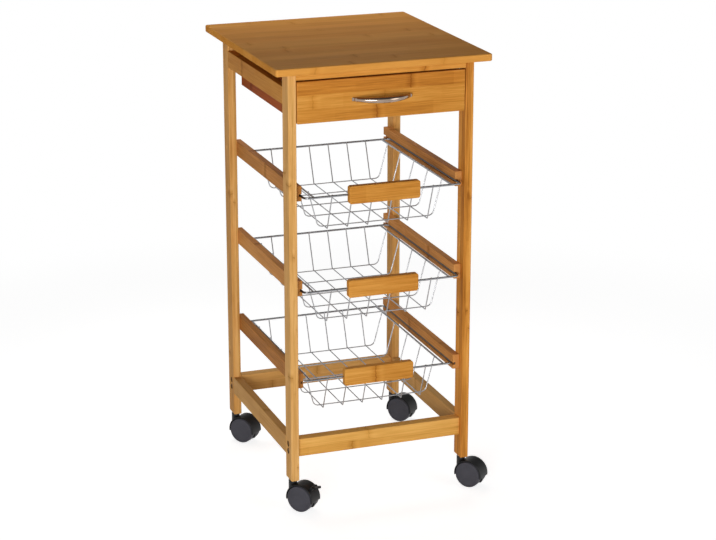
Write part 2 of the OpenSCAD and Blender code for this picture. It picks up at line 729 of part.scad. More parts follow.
// Casters, drawn around their stem with the axle towards +X, then turned
module caster_at(sx, sy) {
    placed() translate([sx * leg_cx, sy * leg_cy, 0]) rotate([0, 0, caster_turn]) children();
}
module about_axle(r, half, fine = 72) {
    translate([trail, 0, wheel_r]) rotate([90, 0, 0]) cylinder(r = r, h = 2 * half, center = true, $fn = fine);
}
module caster_stems() {
    color(zinc) placed() for (sx = [-1, 1])
        for (sy = [-1, 1])
            translate([sx * leg_cx, sy * leg_cy, 0]) union() {
                bar_z([0, 0, stem_low], stem_d / 2, leg_end_z + stem_in - stem_low);
                bar_z([0, 0, leg_end_z - flange_t], 6.4, flange_t);
            }
}
module hood_shape(lever) {
    difference() {
        union() {
            difference() {
                union() {
                    intersection() {
                        about_axle(hood_r, hood_half);
                        block([-far, -far, wheel_r - 4], [far, far, far]);
                    }
                    intersection() {
                        bar_z([0, 0, wheel_r], neck_r, neck_top - wheel_r);
                        block([-far, -far, wheel_r + 10], [far, far, far]);
                    }
                    if (lever)
                        for (sy = [-1, 1])
                            translate([pivot_x, sy * (lever_half + 0.4 + 1.1), pivot_z]) {
                                rotate([90, 0, 0]) cylinder(r = 3, h = 2.2, center = true);
                                rotate([0, 90 - pivot_a, 0]) translate([-3, -1.1, -6]) cube([6, 2.2, 6]);
                            }
                }
                about_axle(hood_in_r, hood_half + 1);
            }
            difference() {
                about_axle(hood_in_r + hood_t / 2, web_t / 2);
                block([-far, -far, -5], [far, far, wheel_r * 0.36]);
            }
        }
        bar_z([0, 0, stem_low - 0.3], stem_d / 2 + turn_fit, far);
        about_axle(axle_d / 2, web_t);
        if (lever) {
            translate([pivot_x, 0, pivot_z]) rotate([90, 0, 0])
                cylinder(r = 1.5 + turn_fit, h = 2 * lever_half + 10, center = true);
            translate([pivot_x, 0, pivot_z]) rotate([90, 0, 0])
                cylinder(r = 3.2, h = 2 * lever_half + 0.8, center = true);
        }
    }
}
module caster_hood(sx, sy, lever = false) {
    color(black) caster_at(sx, sy) hood_shape(lever);
}
module caster_wheels(sx, sy) {
    inner = web_t / 2 + 0.5;
    outer = wheel_span / 2;
    color(grey) caster_at(sx, sy) for (s = [-1, 1])
        translate([trail, 0, wheel_r]) rotate([-s * 90, 0, 0]) difference() {
            bar_z([0, 0, inner], wheel_r, outer - inner, $fn = 72);
            bar_z([0, 0, inner - 1], axle_d / 2 + turn_fit, bore_end - inner + 1);
            bar_z([0, 0, outer - face_dip], wheel_r - 3.5, 1, $fn = 72);
        }
}
module caster_axle(sx, sy) {
    color(steel) caster_at(sx, sy) about_axle(axle_d / 2, bore_end - 0.3, 36);
}
module caster_hood_front_left() { caster_hood(-1, -1, lever = true); }
module caster_hood_front_right() { caster_hood(1, -1); }
module caster_hood_rear_left() { caster_hood(-1, 1); }
module caster_hood_rear_right() { caster_hood(1, 1); }
module caster_wheels_front_left() { caster_wheels(-1, -1); }
module caster_wheels_front_right() { caster_wheels(1, -1); }
module caster_wheels_rear_left() { caster_wheels(-1, 1); }
module caster_wheels_rear_right() { caster_wheels(1, 1); }
module caster_axle_front_left() { caster_axle(-1, -1); }
module caster_axle_front_right() { caster_axle(1, -1); }
module caster_axle_rear_left() { caster_axle(-1, 1); }
module caster_axle_rear_right() { caster_axle(1, 1); }

module brake_lever() {
    color(black) caster_at(-1, -1) translate([pivot_x, 0, pivot_z]) union() {
        rotate([90, 0, 0]) cylinder(r = 2.7, h = 2 * lever_half, center = true);
        rotate([90, 0, 0]) cylinder(r = 1.5, h = 2 * lever_half + 4.8, center = true);
        rotate([0, -14, 0]) translate([1.9, 0.5 - lever_half, -1.4])
            cube([tab_l - 1.9, 2 * lever_half - 1, 2.8]);
        rotate([0, -14, 0]) translate([tab_l, 0, -1.4]) cylinder(r = lever_half * 0.5, h = 2.8);
    }
}

tabletop();
leg_front_left();
leg_front_right();
leg_rear_left();
leg_rear_right();
side_apron_left();
side_apron_right();
rear_apron();
top_front_rail();
lower_side_rail_left();
lower_side_rail_right();
lower_front_rail();
lower_rear_rail();
basket_rail_upper_left();
basket_rail_upper_right();
basket_rail_middle_left();
basket_rail_middle_right();
basket_rail_lower_left();
basket_rail_lower_right();
drawer_runner_left();
drawer_runner_right();
frame_bolts();
barrel_nuts();
frame_dowels();
rail_screws();
top_screws();
caster_stems();
drawer_front();
drawer_side_left();
drawer_side_right();
drawer_back();
drawer_bottom();
drawer_pull();
pull_screws();
basket_rim_upper();
basket_wires_upper();
basket_handle_upper();
handle_screws_upper();
basket_rim_middle();
basket_wires_middle();
basket_handle_middle();
handle_screws_middle();
basket_rim_lower();
basket_wires_lower();
basket_handle_lower();
handle_screws_lower();
caster_hood_front_left();
caster_wheels_front_left();
caster_axle_front_left();
caster_hood_front_right();
caster_wheels_front_right();
caster_axle_front_right();
caster_hood_rear_left();
caster_wheels_rear_left();
caster_axle_rear_left();
caster_hood_rear_right();
caster_wheels_rear_right();
caster_axle_rear_right();
brake_lever();
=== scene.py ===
"""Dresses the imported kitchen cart: bamboo boards, wire baskets, a bow pull and twin-wheel casters."""
import logging
import math
from collections.abc import Callable
from dataclasses import dataclass, field
from enum import Enum

import bmesh
import bpy
from mathutils import Matrix, Vector


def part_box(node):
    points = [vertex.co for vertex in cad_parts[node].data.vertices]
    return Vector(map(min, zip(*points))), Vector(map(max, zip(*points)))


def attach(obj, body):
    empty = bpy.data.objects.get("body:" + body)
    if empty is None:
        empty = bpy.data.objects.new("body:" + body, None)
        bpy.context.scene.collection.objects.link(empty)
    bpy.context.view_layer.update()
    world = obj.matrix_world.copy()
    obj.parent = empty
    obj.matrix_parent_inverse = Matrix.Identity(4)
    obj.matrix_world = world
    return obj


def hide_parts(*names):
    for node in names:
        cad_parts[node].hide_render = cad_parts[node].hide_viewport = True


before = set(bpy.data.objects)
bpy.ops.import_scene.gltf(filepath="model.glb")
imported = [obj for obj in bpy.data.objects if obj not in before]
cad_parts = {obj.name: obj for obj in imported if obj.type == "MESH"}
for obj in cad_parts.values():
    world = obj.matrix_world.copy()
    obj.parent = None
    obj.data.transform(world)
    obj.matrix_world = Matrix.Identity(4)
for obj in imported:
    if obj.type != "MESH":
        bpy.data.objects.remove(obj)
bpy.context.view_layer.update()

Colour = tuple[float, float, float]
Spot = tuple[float, float, float]
Profile = list[tuple[float, float]]
Aims = list[tuple[Vector, Vector]]
Socket = bpy.types.NodeSocket
Piece = bpy.types.Object
Paint = bpy.types.Material

LOG = logging.getLogger("kitchen_cart")
MM = 0.001
ORIGIN, RIGHT, BACK, UP = Vector((0, 0, 0)), Vector((1, 0, 0)), Vector((0, 1, 0)), Vector((0, 0, 1))
WHITE = (1.0, 1.0, 1.0, 1.0)
SIDES = ("left", "right")
# Signs of X and Y at each leg
CORNERS = {"front_left": (-1, -1), "front_right": (1, -1), "rear_left": (-1, 1), "rear_right": (1, 1)}
# Height of each basket's rim
RIM_Z = {"upper": 544.0, "middle": 383.0, "lower": 222.0}
# Middle between the front and the rear legs
MIDDLE_Y = 2.5
# Distance of the legs' bolts from that middle, and their two heights
BOLT_Y = 163.5
BOLT_Z = (102.0, 115.0)


class Axis(Enum):
    """One of the row frame's directions."""

    X = 0
    Y = 1
    Z = 2

    def others(self) -> tuple[int, int]:
        """The two other directions, in order."""
        first, second = [i for i in range(3) if i != self.value]
        return first, second


class Slot(Enum):
    """The record's material slots."""

    BAMBOO = "bamboo"
    BROWN = "bamboo_brown"
    BEECH = "beech"
    PLYWOOD = "plywood"
    WIRE = "wire_chrome"
    PULL = "satin_chrome"
    ZINC = "zinc_steel"
    BLACK = "black_plastic"
    WHEEL = "wheel_plastic"


# Node trees


class Graph:
    """Adds nodes to one shader or geometry tree."""

    def __init__(self, tree: bpy.types.NodeTree) -> None:
        """Keeps the tree that gets the nodes."""
        self.tree = tree

    def node(self, kind: str, settings: dict | None = None, inputs: dict | None = None) -> bpy.types.Node:
        """Adds one node.

        Args:
            kind: The node's type.
            settings: Its properties, set first.
            inputs: The value or link of each socket, by name or number.

        Returns:
            The new node.
        """
        made = self.tree.nodes.new(kind)
        for key, value in (settings or {}).items():
            setattr(made, key, value)
        for key, value in (inputs or {}).items():
            value = value.socket if isinstance(value, Value) else value
            if isinstance(value, Socket):
                self.tree.links.new(value, made.inputs[key])
            else:
                made.inputs[key].default_value = value
        return made

    def out(self, kind: str, settings: dict | None = None, inputs: dict | None = None) -> Socket:
        """Adds one node and returns its first output."""
        return self.node(kind, settings, inputs).outputs[0]

    def axes(self, output: str = "Object", unit: float = 1 / MM) -> list["Value"]:
        """Splits a texture coordinate.

        Args:
            output: Which coordinate.
            unit: What its parts are multiplied by.

        Returns:
            Its three parts.
        """
        spot = self.node("ShaderNodeTexCoord").outputs[output]
        parts = self.node("ShaderNodeSeparateXYZ", inputs={0: spot}).outputs
        return [Value(self, part) * unit for part in parts]

    def vector(self, x: object, y: object, z: object) -> Socket:
        """Joins three numbers or values to one vector socket."""
        return self.out("ShaderNodeCombineXYZ", inputs={0: x, 1: y, 2: z})

    def noise(
        self, place: Socket | tuple, scale: float = 1.0, detail: float = 2.0, rough: float = 0.5
    ) -> "Value":
        """Adds a noise texture.

        Args:
            place: The coordinate or its three parts.
            scale: How fine it is.
            detail: Its octaves.
            rough: How strong the finer octaves are.

        Returns:
            The noise, from 0 to 1.
        """
        place = self.vector(*place) if isinstance(place, tuple) else place
        inputs = {"Vector": place, "Scale": scale, "Detail": detail, "Roughness": rough}
        made = self.node("ShaderNodeTexNoise", {"noise_dimensions": "3D"}, inputs)
        return Value(self, made.outputs["Fac"])

    def chance(self, x: object, y: object, z: object) -> list["Value"]:
        """Draws three random numbers for one cell of a pattern.

        Args:
            x: The cell's first number.
            y: The cell's second number.
            z: The cell's third number.

        Returns:
            Three values from 0 to 1.
        """
        inputs = {"Vector": self.vector(x, y, z)}
        white = self.node("ShaderNodeTexWhiteNoise", {"noise_dimensions": "3D"}, inputs)
        parts = self.node("ShaderNodeSeparateColor", inputs={0: white.outputs["Color"]})
        return [Value(self, part) for part in parts.outputs]

    def ramp(self, place: "Value", stops: list[tuple[float, Colour]]) -> Socket:
        """Turns a value from 0 to 1 into a colour.

        Args:
            place: Where on the ramp.
            stops: Place and colour of each stop.

        Returns:
            The colour socket.
        """
        made = self.node("ShaderNodeValToRGB", inputs={0: place})
        elements = made.color_ramp.elements
        while len(elements) < len(stops):
            elements.new(0.5)
        for element, (spot, colour) in zip(elements, stops):
            element.position = spot
            element.color = (*colour, 1.0)
        return made.outputs["Color"]

    def mix(self, share: object, first: object, second: object, how: str = "MIX") -> Socket:
        """Mixes two colours.

        Args:
            share: How much of the second, 0 to 1.
            first: The first colour.
            second: The second colour.
            how: The blend type.

        Returns:
            The mixed colour socket.
        """
        settings = {"data_type": "RGBA", "blend_type": how}
        return self.node("ShaderNodeMix", settings, {0: share, 6: first, 7: second}).outputs[2]

    def blend(self, share: object, first: Socket, second: Socket) -> Socket:
        """Mixes two shaders by the share of the second."""
        return self.out("ShaderNodeMixShader", inputs={0: share, 1: first, 2: second})

    def rays(self, *kinds: str) -> "Value":
        """1 where a ray is of one of some kinds, and 0 elsewhere."""
        outputs = self.node("ShaderNodeLightPath").outputs
        return sum(Value(self, outputs[f"Is {kind} Ray"]) for kind in kinds).held()

    def surface(self, inputs: dict, height: "Value", strength: float, depth: float) -> None:
        """Adds the Principled shader, its bump and the output.

        Args:
            inputs: The shader's sockets.
            height: What the bump follows.
            strength: The bump's strength.
            depth: The bump's depth in metres.
        """
        relief = {"Strength": strength, "Distance": depth, "Height": height}
        inputs = {**inputs, "Normal": self.out("ShaderNodeBump", inputs=relief)}
        shader = self.out("ShaderNodeBsdfPrincipled", inputs=inputs)
        self.node("ShaderNodeOutputMaterial", inputs={"Surface": shader})


class Value:
    """A number's socket that adds Math nodes when it is used in an expression."""

    def __init__(self, graph: Graph, socket: Socket) -> None:
        """Keeps the graph and the socket."""
        self.graph = graph
        self.socket = socket

    def _math(self, operation: str, *terms: object, clamp: bool = False) -> "Value":
        """Adds one Math node.

        Args:
            operation: The node's operation.
            terms: Its inputs in order.
            clamp: Whether the result is kept from 0 to 1.

        Returns:
            The node's result.
        """
        settings = {"operation": operation, "use_clamp": clamp}
        return Value(self.graph, self.graph.out("ShaderNodeMath", settings, dict(enumerate(terms))))

    def __add__(self, other: object) -> "Value":
        """This plus another."""
        return self._math("ADD", self, other)

    __radd__ = __add__

    def __sub__(self, other: object) -> "Value":
        """This minus another."""
        return self._math("SUBTRACT", self, other)

    def __rsub__(self, other: object) -> "Value":
        """Another minus this."""
        return self._math("SUBTRACT", other, self)

    def __mul__(self, other: object) -> "Value":
        """This times another."""
        return self._math("MULTIPLY", self, other)

    def __truediv__(self, other: object) -> "Value":
        """This over another."""
        return self._math("DIVIDE", self, other)

    def __abs__(self) -> "Value":
        """The size of this without its sign."""
        return self._math("ABSOLUTE", self)

    def floor(self) -> "Value":
        """The whole number below."""
        return self._math("FLOOR", self)

    def fract(self) -> "Value":
        """What is left above the whole number."""
        return self._math("FRACT", self)

    def held(self) -> "Value":
        """This kept from 0 to 1."""
        return self._math("ADD", self, 0.0, clamp=True)

    def rise(self, start: float, end: float) -> "Value":
        """A soft step.

        Args:
            start: Where it is 0.
            end: Where it is 1.

        Returns:
            The step, from 0 to 1.
        """
        inputs = {0: self, 1: start, 2: end, 3: 0.0, 4: 1.0}
        made = self.graph.out("ShaderNodeMapRange", {"interpolation_type": "SMOOTHSTEP"}, inputs)
        return Value(self.graph, made)

    def fall(self, start: float, end: float) -> "Value":
        """A soft step from 1 at the start to 0 at the end."""
        return 1 - self.rise(start, end)


# Finishes


class Finish:
    """A surface that fills its own material's tree."""

    def material(self, name: str) -> Paint:
        """Builds the finish.

        Args:
            name: The material's name.

        Returns:
            The material.
        """
        material = bpy.data.materials.new(name)
        material.use_nodes = True
        material.node_tree.nodes.clear()
        self.paint(Graph(material.node_tree))
        return material

    def paint(self, graph: Graph) -> None:
        """Fills the empty tree, in each kind of finish its own way."""
        raise NotImplementedError


class Tone(Enum):
    """The bamboo's colours, from its dark fibres to its pale ones."""

    HONEY = ((0.32, 0.105, 0.014), (0.58, 0.235, 0.036), (0.71, 0.330, 0.066), (0.85, 0.450, 0.115))
    PALE = ((0.50, 0.235, 0.060), (0.69, 0.365, 0.108), (0.79, 0.450, 0.155), (0.89, 0.560, 0.225))
    AMBER = ((0.46, 0.195, 0.030), (0.72, 0.360, 0.076), (0.84, 0.455, 0.118), (0.93, 0.570, 0.180))
    TOP = ((0.36, 0.126, 0.018), (0.65, 0.268, 0.045), (0.79, 0.362, 0.076), (0.91, 0.480, 0.125))
    RAIL = ((0.28, 0.104, 0.022), (0.56, 0.238, 0.062), (0.70, 0.328, 0.100), (0.81, 0.418, 0.145))
    RED = ((0.12, 0.020, 0.002), (0.29, 0.056, 0.006), (0.41, 0.090, 0.012), (0.52, 0.140, 0.026))


@dataclass(frozen=True)
class Look:
    """What sets one board's bamboo apart: colours, spacing of its joints, contrast and gloss.

    The end shade is the tone of its end grain, light multiplies its colours, and a bolted board gets
    painted shade round the holes of the legs' bolts.
    """

    tone: Tone = Tone.HONEY
    joint_pitch: float = 255.0
    contrast: float = 1.0
    gloss: float = 0.03
    end_shade: float = 0.24
    light: float = 1.0
    bolted: bool = False


@dataclass(frozen=True)
class Bamboo(Finish):
    """Lacquered bamboo, glued up from strips that all run along the grain."""

    grain: Axis
    start: Spot
    strips: tuple[float, float]
    seed: int
    look: Look
    middle_tone: float = 0.56
    lightest: float = 0.95
    stops: tuple[float, ...] = (0.0, 0.38, 0.62, 1.0)
    lacquer: tuple[float, ...] = (0.86, 0.52, 0.30, 1.0)
    # Colour of the painted shade round the bolt holes
    bore_shade: tuple[float, ...] = (0.040, 0.018, 0.008, 1.0)

    def paint(self, graph: Graph) -> None:
        """Fills the material's tree.

        Args:
            graph: The tree's graph.
        """
        look, seed, axes = self.look, self.seed, graph.axes()
        along = axes[self.grain.value]
        across, through = (axes[i] - self.start[i] for i in self.grain.others())
        row, layer = (spot / size + 0.001 for spot, size in zip((across, through), self.strips))
        cell = (row.floor() + seed * 7.31, layer.floor() + seed * 3.17)
        tint, slide, lean = graph.chance(*cell, seed * 0.71)

        # Fibres, streaks and clouds, all long along the grain
        streak = graph.noise((along * 0.010 + seed, across * 0.55, through * 0.55), detail=4.0, rough=0.6)
        fibre = graph.noise((along * 0.045, across * 2.3, through * 2.3))
        cloud = graph.noise((along * 0.007, across * 0.045, through * 0.045 + seed), detail=1.0)
        ripple = graph.noise((along * 0.02, across * 0.17, through * 0.17), detail=1.0) - 0.5

        # The cane's joints: a dark line in a wider dark cuff, with a pale band beside it
        turn = along / look.joint_pitch + slide * 5.0
        shade, shift, weight = graph.chance(cell[0], cell[1] + 11.0, turn.floor())
        side = (turn.fract() - 0.5 - (shift - 0.5) * 0.55) * look.joint_pitch + ripple * 7.0
        present = weight.rise(0.15, 0.5)
        line = abs(side).fall(0.3, 1.7) * present
        cuff = abs(side).fall(1.0, 12.0) * present
        pale = abs(side - 9.0).fall(1.0, 9.0) * present

        # Glue lines between the strips
        edges = [(0.5 - abs(part.fract() - 0.5)) * size for part, size in zip((row, layer), self.strips)]
        seam = (edges[0].fall(0.05, 0.55) + edges[1].fall(0.05, 0.55)).held()

        tone = (tint - 0.5) * 0.30 + (shade - 0.5) * 0.10 + (streak - 0.5) * 0.95 + (fibre - 0.5) * 0.40
        tone = tone + (cloud - 0.5) * 0.55 - cuff * 0.17 - line * 0.26 + pale * 0.07 - seam * 0.13
        tone = tone * look.contrast + self.middle_tone

        # End grain, dotted with pores
        end = abs(graph.axes("Normal", 1.0)[self.grain.value]).rise(0.75, 0.95)
        inputs = {"Vector": graph.vector(across, through, seed), "Scale": 0.85}
        pores = graph.node("ShaderNodeTexVoronoi", {"feature": "F1"}, inputs).outputs["Distance"]
        dots = Value(graph, pores).rise(0.10, 0.42)
        tone = tone * (1 - end) + (dots * 0.30 + look.end_shade + (tint - 0.5) * 0.15) * end

        lit = [tuple(min(part * look.light, self.lightest) for part in parts) for parts in look.tone.value]
        colour = graph.ramp(tone.held(), list(zip(self.stops, lit)))
        warm = graph.mix(lean * 0.35, colour, self.lacquer, "MULTIPLY")
        colour = graph.mix(0.45, colour, warm)
        # Painted shade round the legs' bolt holes, standing in for the dark gap round the recessed bolt
        # heads
        if look.bolted:
            colour = graph.mix(self._rings(axes) * 0.88, colour, self.bore_shade)
        rough = (fibre - 0.5) * 0.16 + (cloud - 0.5) * 0.10 + 0.50 + line * 0.12 + end * 0.15
        height = streak * 0.5 + fibre * 0.35 - seam * 0.55 - line * 0.5 + cuff * 0.25
        height = height - (1 - dots) * end * 0.4
        inputs = {"Base Color": colour, "Roughness": rough, "IOR": 1.45, "Specular IOR Level": look.gloss}
        graph.surface(inputs, height, 0.35, 0.00025)

    @staticmethod
    def _rings(axes: list[Value]) -> Value:
        """Marks the painted shade in and close round the bolt holes, which stands in for the dark of their
        recesses.

        Args:
            axes: The place's three parts in millimetres.

        Returns:
            1 there and 0 further out.
        """
        low, high = BOLT_Z
        beside = abs(abs(axes[1] - MIDDLE_Y) - BOLT_Y)
        above = abs(abs(axes[2] - (low + high) / 2) - (high - low) / 2)
        return (beside * beside + above * above).fall(20.0, 32.0)


@dataclass(frozen=True)
class Veneer(Finish):
    """A thin sheet of plywood with a faint, wavy grain."""

    light: Colour
    dark: Colour
    grain: Axis = Axis.X

    def paint(self, graph: Graph) -> None:
        """Fills the material's tree.

        Args:
            graph: The tree's graph.
        """
        axes = graph.axes()
        along = axes[self.grain.value]
        across, through = (axes[i] for i in self.grain.others())
        wave = graph.noise((along * 0.006, across * 0.03, through * 0.03))
        bands = (wave * 9.0 + across * 0.05).fract()
        streak = graph.noise((along * 0.02, across * 1.4, through * 1.4), detail=3.0, rough=0.6)
        pore = graph.noise((along * 0.12, across * 3.5, through * 3.5), detail=1.0).rise(0.60, 0.72)
        tone = (abs(bands - 0.5) * 0.7 + streak * 0.55 - pore * 0.25).held()
        colour = graph.ramp(tone, [(0.0, self.dark), (0.8, self.light)])
        inputs = {"Base Color": colour, "Roughness": streak * 0.15 + 0.55, "Specular IOR Level": 0.3}
        graph.surface(inputs, streak - pore * 0.6, 0.3, 0.0002)


@dataclass(frozen=True)
class Metal(Finish):
    """Plated or brushed metal with faint clouds and hair lines, with painted shade past a distance from the
    middle.
    """

    colour: Colour
    shade: Colour
    rough: float
    brush: Axis | None = None
    shaded_past: float | None = None
    # Colour of the painted shade in the grooves
    groove_shade: tuple[float, ...] = (0.050, 0.044, 0.040, 1.0)

    def paint(self, graph: Graph) -> None:
        """Fills the material's tree.

        Args:
            graph: The tree's graph.
        """
        axes, place = graph.axes(), graph.node("ShaderNodeTexCoord").outputs["Object"]
        scales = [0.35, 0.35, 0.35]
        if self.brush is not None:
            scales = [0.05 if i == self.brush.value else 1.6 for i in range(3)]
        hair = graph.noise(tuple(part * scale for part, scale in zip(axes, scales)), detail=3.0, rough=0.6)
        cloud = graph.noise(place, 60.0)
        spots = graph.noise(place, 900.0, 1.0).rise(0.62, 0.78)
        tone = ((hair - 0.5) * 0.7 + (cloud - 0.5) * 0.8 + 0.55 - spots * 0.15).held()
        colour = graph.ramp(tone, [(0.15, self.shade), (0.85, self.colour)])
        rough = (hair - 0.5) * 0.12 + (cloud - 0.5) * 0.10 + self.rough + spots * 0.08
        # Painted shade: past this distance the rim's sides run in the rails' grooves; their colour is
        # darkened to stand in for the grooves' shadow, and they are made rougher
        if self.shaded_past is not None:
            in_groove = abs(axes[0]).rise(self.shaded_past - 0.8, self.shaded_past + 0.2)
            colour = graph.mix(in_groove * 0.80, colour, self.groove_shade)
            rough = rough + in_groove * 0.25
        inputs = {"Base Color": colour, "Metallic": 1.0, "Roughness": rough}
        graph.surface(inputs, hair - spots * 0.4, 0.12, 0.0001)


@dataclass(frozen=True)
class Plastic(Finish):
    """Moulded plastic with a fine texture, faint flow marks and pale scuffs."""

    colour: Colour
    pale: Colour
    rough: float
    texture: float
    shine: float

    def paint(self, graph: Graph) -> None:
        """Fills the material's tree.

        Args:
            graph: The tree's graph.
        """
        place = graph.node("ShaderNodeTexCoord").outputs["Object"]
        fine = graph.noise(place, 1500.0, 2.0, 0.6)
        flow = graph.noise(place, 45.0, 3.0, 0.55)
        scuff = graph.noise(place, 220.0, 4.0, 0.7).rise(0.58, 0.75)
        tone = ((flow - 0.5) * 0.9 + (fine - 0.5) * 0.3 + 0.38 + scuff * 0.22).held()
        colour = graph.ramp(tone, [(0.1, self.colour), (0.9, self.pale)])
        rough = (fine - 0.5) * 0.12 + (flow - 0.5) * 0.12 + self.rough + scuff * 0.12
        inputs = {"Base Color": colour, "Roughness": rough, "IOR": 1.5, "Specular IOR Level": self.shine}
        graph.surface(inputs, fine + scuff * 0.3, self.texture, 0.00012)


THIN_WIRE = "wire_thin"
BOLT_STEEL = "bolt_steel"
FINISHES = {
    # The rim wire gets painted shade where it runs in the rails' grooves
    Slot.WIRE.value: Metal((0.40, 0.405, 0.42), (0.19, 0.193, 0.20), 0.26, shaded_past=134.5),
    THIN_WIRE: Metal((0.52, 0.525, 0.54), (0.30, 0.305, 0.32), 0.32),
    BOLT_STEEL: Metal((0.62, 0.60, 0.56), (0.32, 0.30, 0.27), 0.30),
    # Painted reflection: the chrome pull's brown tint stands in for the wood that it reflects
    Slot.PULL.value: Metal((0.46, 0.36, 0.29), (0.24, 0.175, 0.13), 0.14, Axis.X),
    Slot.ZINC.value: Metal((0.42, 0.41, 0.39), (0.22, 0.21, 0.20), 0.40),
    Slot.BLACK.value: Plastic((0.006, 0.006, 0.006), (0.018, 0.018, 0.019), 0.42, 0.25, 0.22),
    Slot.WHEEL.value: Plastic((0.032, 0.031, 0.039), (0.064, 0.062, 0.076), 0.50, 0.35, 0.3),
    Slot.BEECH.value: Veneer((0.68, 0.44, 0.23), (0.50, 0.29, 0.13)),
    Slot.PLYWOOD.value: Veneer((0.80, 0.56, 0.32), (0.62, 0.40, 0.20)),
}


# Meshes


class Form:
    """A mesh under construction, in millimetres in the row frame."""

    def __init__(self, place: Matrix | None = None) -> None:
        """Starts empty; shapes drawn at a part's own origin go to the given place."""
        self.bm = bmesh.new()
        self.place = place or Matrix.Identity(4)

    def rings(self, rings: list[list[Vector]]) -> None:
        """Skins rings of equally many points and fills the first and the last.

        Args:
            rings: The rings in order; a ring of one point is a tip.
        """
        made = [[self.bm.verts.new(self.place @ point) for point in ring] for ring in rings]
        for low, high in zip(made, made[1:]):
            count = max(len(low), len(high))
            for i in range(count):
                j = (i + 1) % count
                if len(low) == 1:
                    corners = [low[0], high[i], high[j]]
                elif len(high) == 1:
                    corners = [low[i], low[j], high[0]]
                else:
                    corners = [low[i], low[j], high[j], high[i]]
                self.bm.faces.new(corners)
        for ring in (made[0], made[-1]):
            if len(ring) > 2:
                self.bm.faces.new(ring)

    def slab(
        self, low: Vector, high: Vector, along: Axis, corner: float, edge: float, steps: int = 4
    ) -> None:
        """A board with rounded edges.

        Args:
            low: Its lowest corner.
            high: Its highest corner.
            along: The direction it is drawn out in.
            corner: The radius of the corners seen along that direction.
            edge: The radius of the edges round both ends, at most the corner's.
            steps: The steps in each rounded edge.
        """
        across = along.others()
        rings = []
        for end in (0, 1):
            for k in range(steps + 1):
                turn = math.pi / 2 * (k if end == 0 else steps - k) / steps
                inset = edge * (1 - math.sin(turn))
                depth = edge * (1 - math.cos(turn))
                sides = [(low[i] + inset, high[i] - inset) for i in across]
                ring = []
                for pair in self._outline(sides, corner - inset, steps):
                    point = Vector(ORIGIN)
                    point[across[0]], point[across[1]] = pair
                    point[along.value] = low[along.value] + depth if end == 0 else high[along.value] - depth
                    ring.append(point)
                rings.append(ring)
        self.rings(rings)

    @staticmethod
    def _outline(sides: Profile, radius: float, steps: int) -> Profile:
        """A rectangle with round corners.

        Args:
            sides: Its lowest and highest place in each of the two directions.
            radius: The corners' radius, kept above nothing.
            steps: The steps in each corner.

        Returns:
            Its points.
        """
        r = max(radius, 0.02)
        (left, right), (bottom, top) = ((low + r, high - r) for low, high in sides)
        points = []
        for quarter, (x, y) in enumerate(((right, top), (left, top), (left, bottom), (right, bottom))):
            for step in range(steps + 1):
                angle = math.pi / 2 * (quarter + step / steps)
                points.append((x + r * math.cos(angle), y + r * math.sin(angle)))
        return points

    def turned(self, profile: Profile, axis: Axis, centre: Vector, steps: int = 48) -> None:
        """A turned shape.

        Args:
            profile: Places along the axis and radii, from a point on the axis to another.
            axis: The axis' direction.
            centre: A point on the axis, the profile's zero.
            steps: The steps round the axis.
        """
        first, second = axis.others()
        rings = []
        for spot, radius in profile:
            ring = [Vector(centre) for _ in range(steps if radius > 0 else 1)]
            for k, point in enumerate(ring):
                angle = 2 * math.pi * k / steps
                point[axis.value] += spot
                point[first] += radius * math.cos(angle)
                point[second] += radius * math.sin(angle)
            rings.append(ring)
        self.rings(rings)

    def finish(self, name: str) -> Piece:
        """Makes the object, in metres, with its faces outwards.

        Args:
            name: The object's name.

        Returns:
            The object, in the scene.
        """
        bmesh.ops.remove_doubles(self.bm, verts=self.bm.verts, dist=0.0005)
        bmesh.ops.dissolve_degenerate(self.bm, edges=self.bm.edges, dist=0.0002)
        bmesh.ops.recalc_face_normals(self.bm, faces=self.bm.faces)
        self.bm.transform(Matrix.Scale(MM, 4))
        return add_mesh(name, self.bm)


def rod(half: float, radius: float, ease: tuple[float, float]) -> Profile:
    """A rod's profile with chamfered ends.

    Args:
        half: Half its length.
        radius: Its radius.
        ease: How far the chamfer runs along it and into it.

    Returns:
        Places along the axis and radii.
    """
    end = [(half, 0.0), (half, radius - ease[1]), (half - ease[0], radius)]
    return [(-spot, r) for spot, r in end] + end[::-1]


def add_object(name: str, data: bpy.types.ID) -> Piece:
    """Puts an object into the scene, at the origin.

    Args:
        name: The object's name.
        data: Its mesh, lamp or camera.

    Returns:
        The object.
    """
    made = bpy.data.objects.new(name, data)
    bpy.context.scene.collection.objects.link(made)
    return made


def add_mesh(name: str, bm: bmesh.types.BMesh) -> Piece:
    """Makes an object of a mesh under construction.

    Args:
        name: The object's name.
        bm: The mesh, which is used up.

    Returns:
        The object.
    """
    mesh = bpy.data.meshes.new(name)
    bm.to_mesh(mesh)
    bm.free()
    return add_object(name, mesh)


def add_points(name: str, points: list[Vector], edges: list[tuple[int, int]]) -> Piece:
    """Makes an object of bare points and edges for a tree to work on.

    Args:
        name: The object's name.
        points: The points in millimetres.
        edges: The pairs of points that edges join.

    Returns:
        The object.
    """
    mesh = bpy.data.meshes.new(name)
    mesh.from_pydata([tuple(point * MM) for point in points], edges, [])
    return add_object(name, mesh)


def drop(obj: Piece) -> None:
    """Takes a helper object out of the file."""
    bpy.data.objects.remove(obj, do_unlink=True)


def freeze(obj: Piece) -> Piece:
    """Turns an object's modifiers into plain mesh.

    Args:
        obj: The object.

    Returns:
        The same object without modifiers.
    """
    depsgraph = bpy.context.evaluated_depsgraph_get()
    mesh = bpy.data.meshes.new_from_object(obj.evaluated_get(depsgraph), depsgraph=depsgraph)
    obj.modifiers.clear()
    obj.data = mesh
    return obj


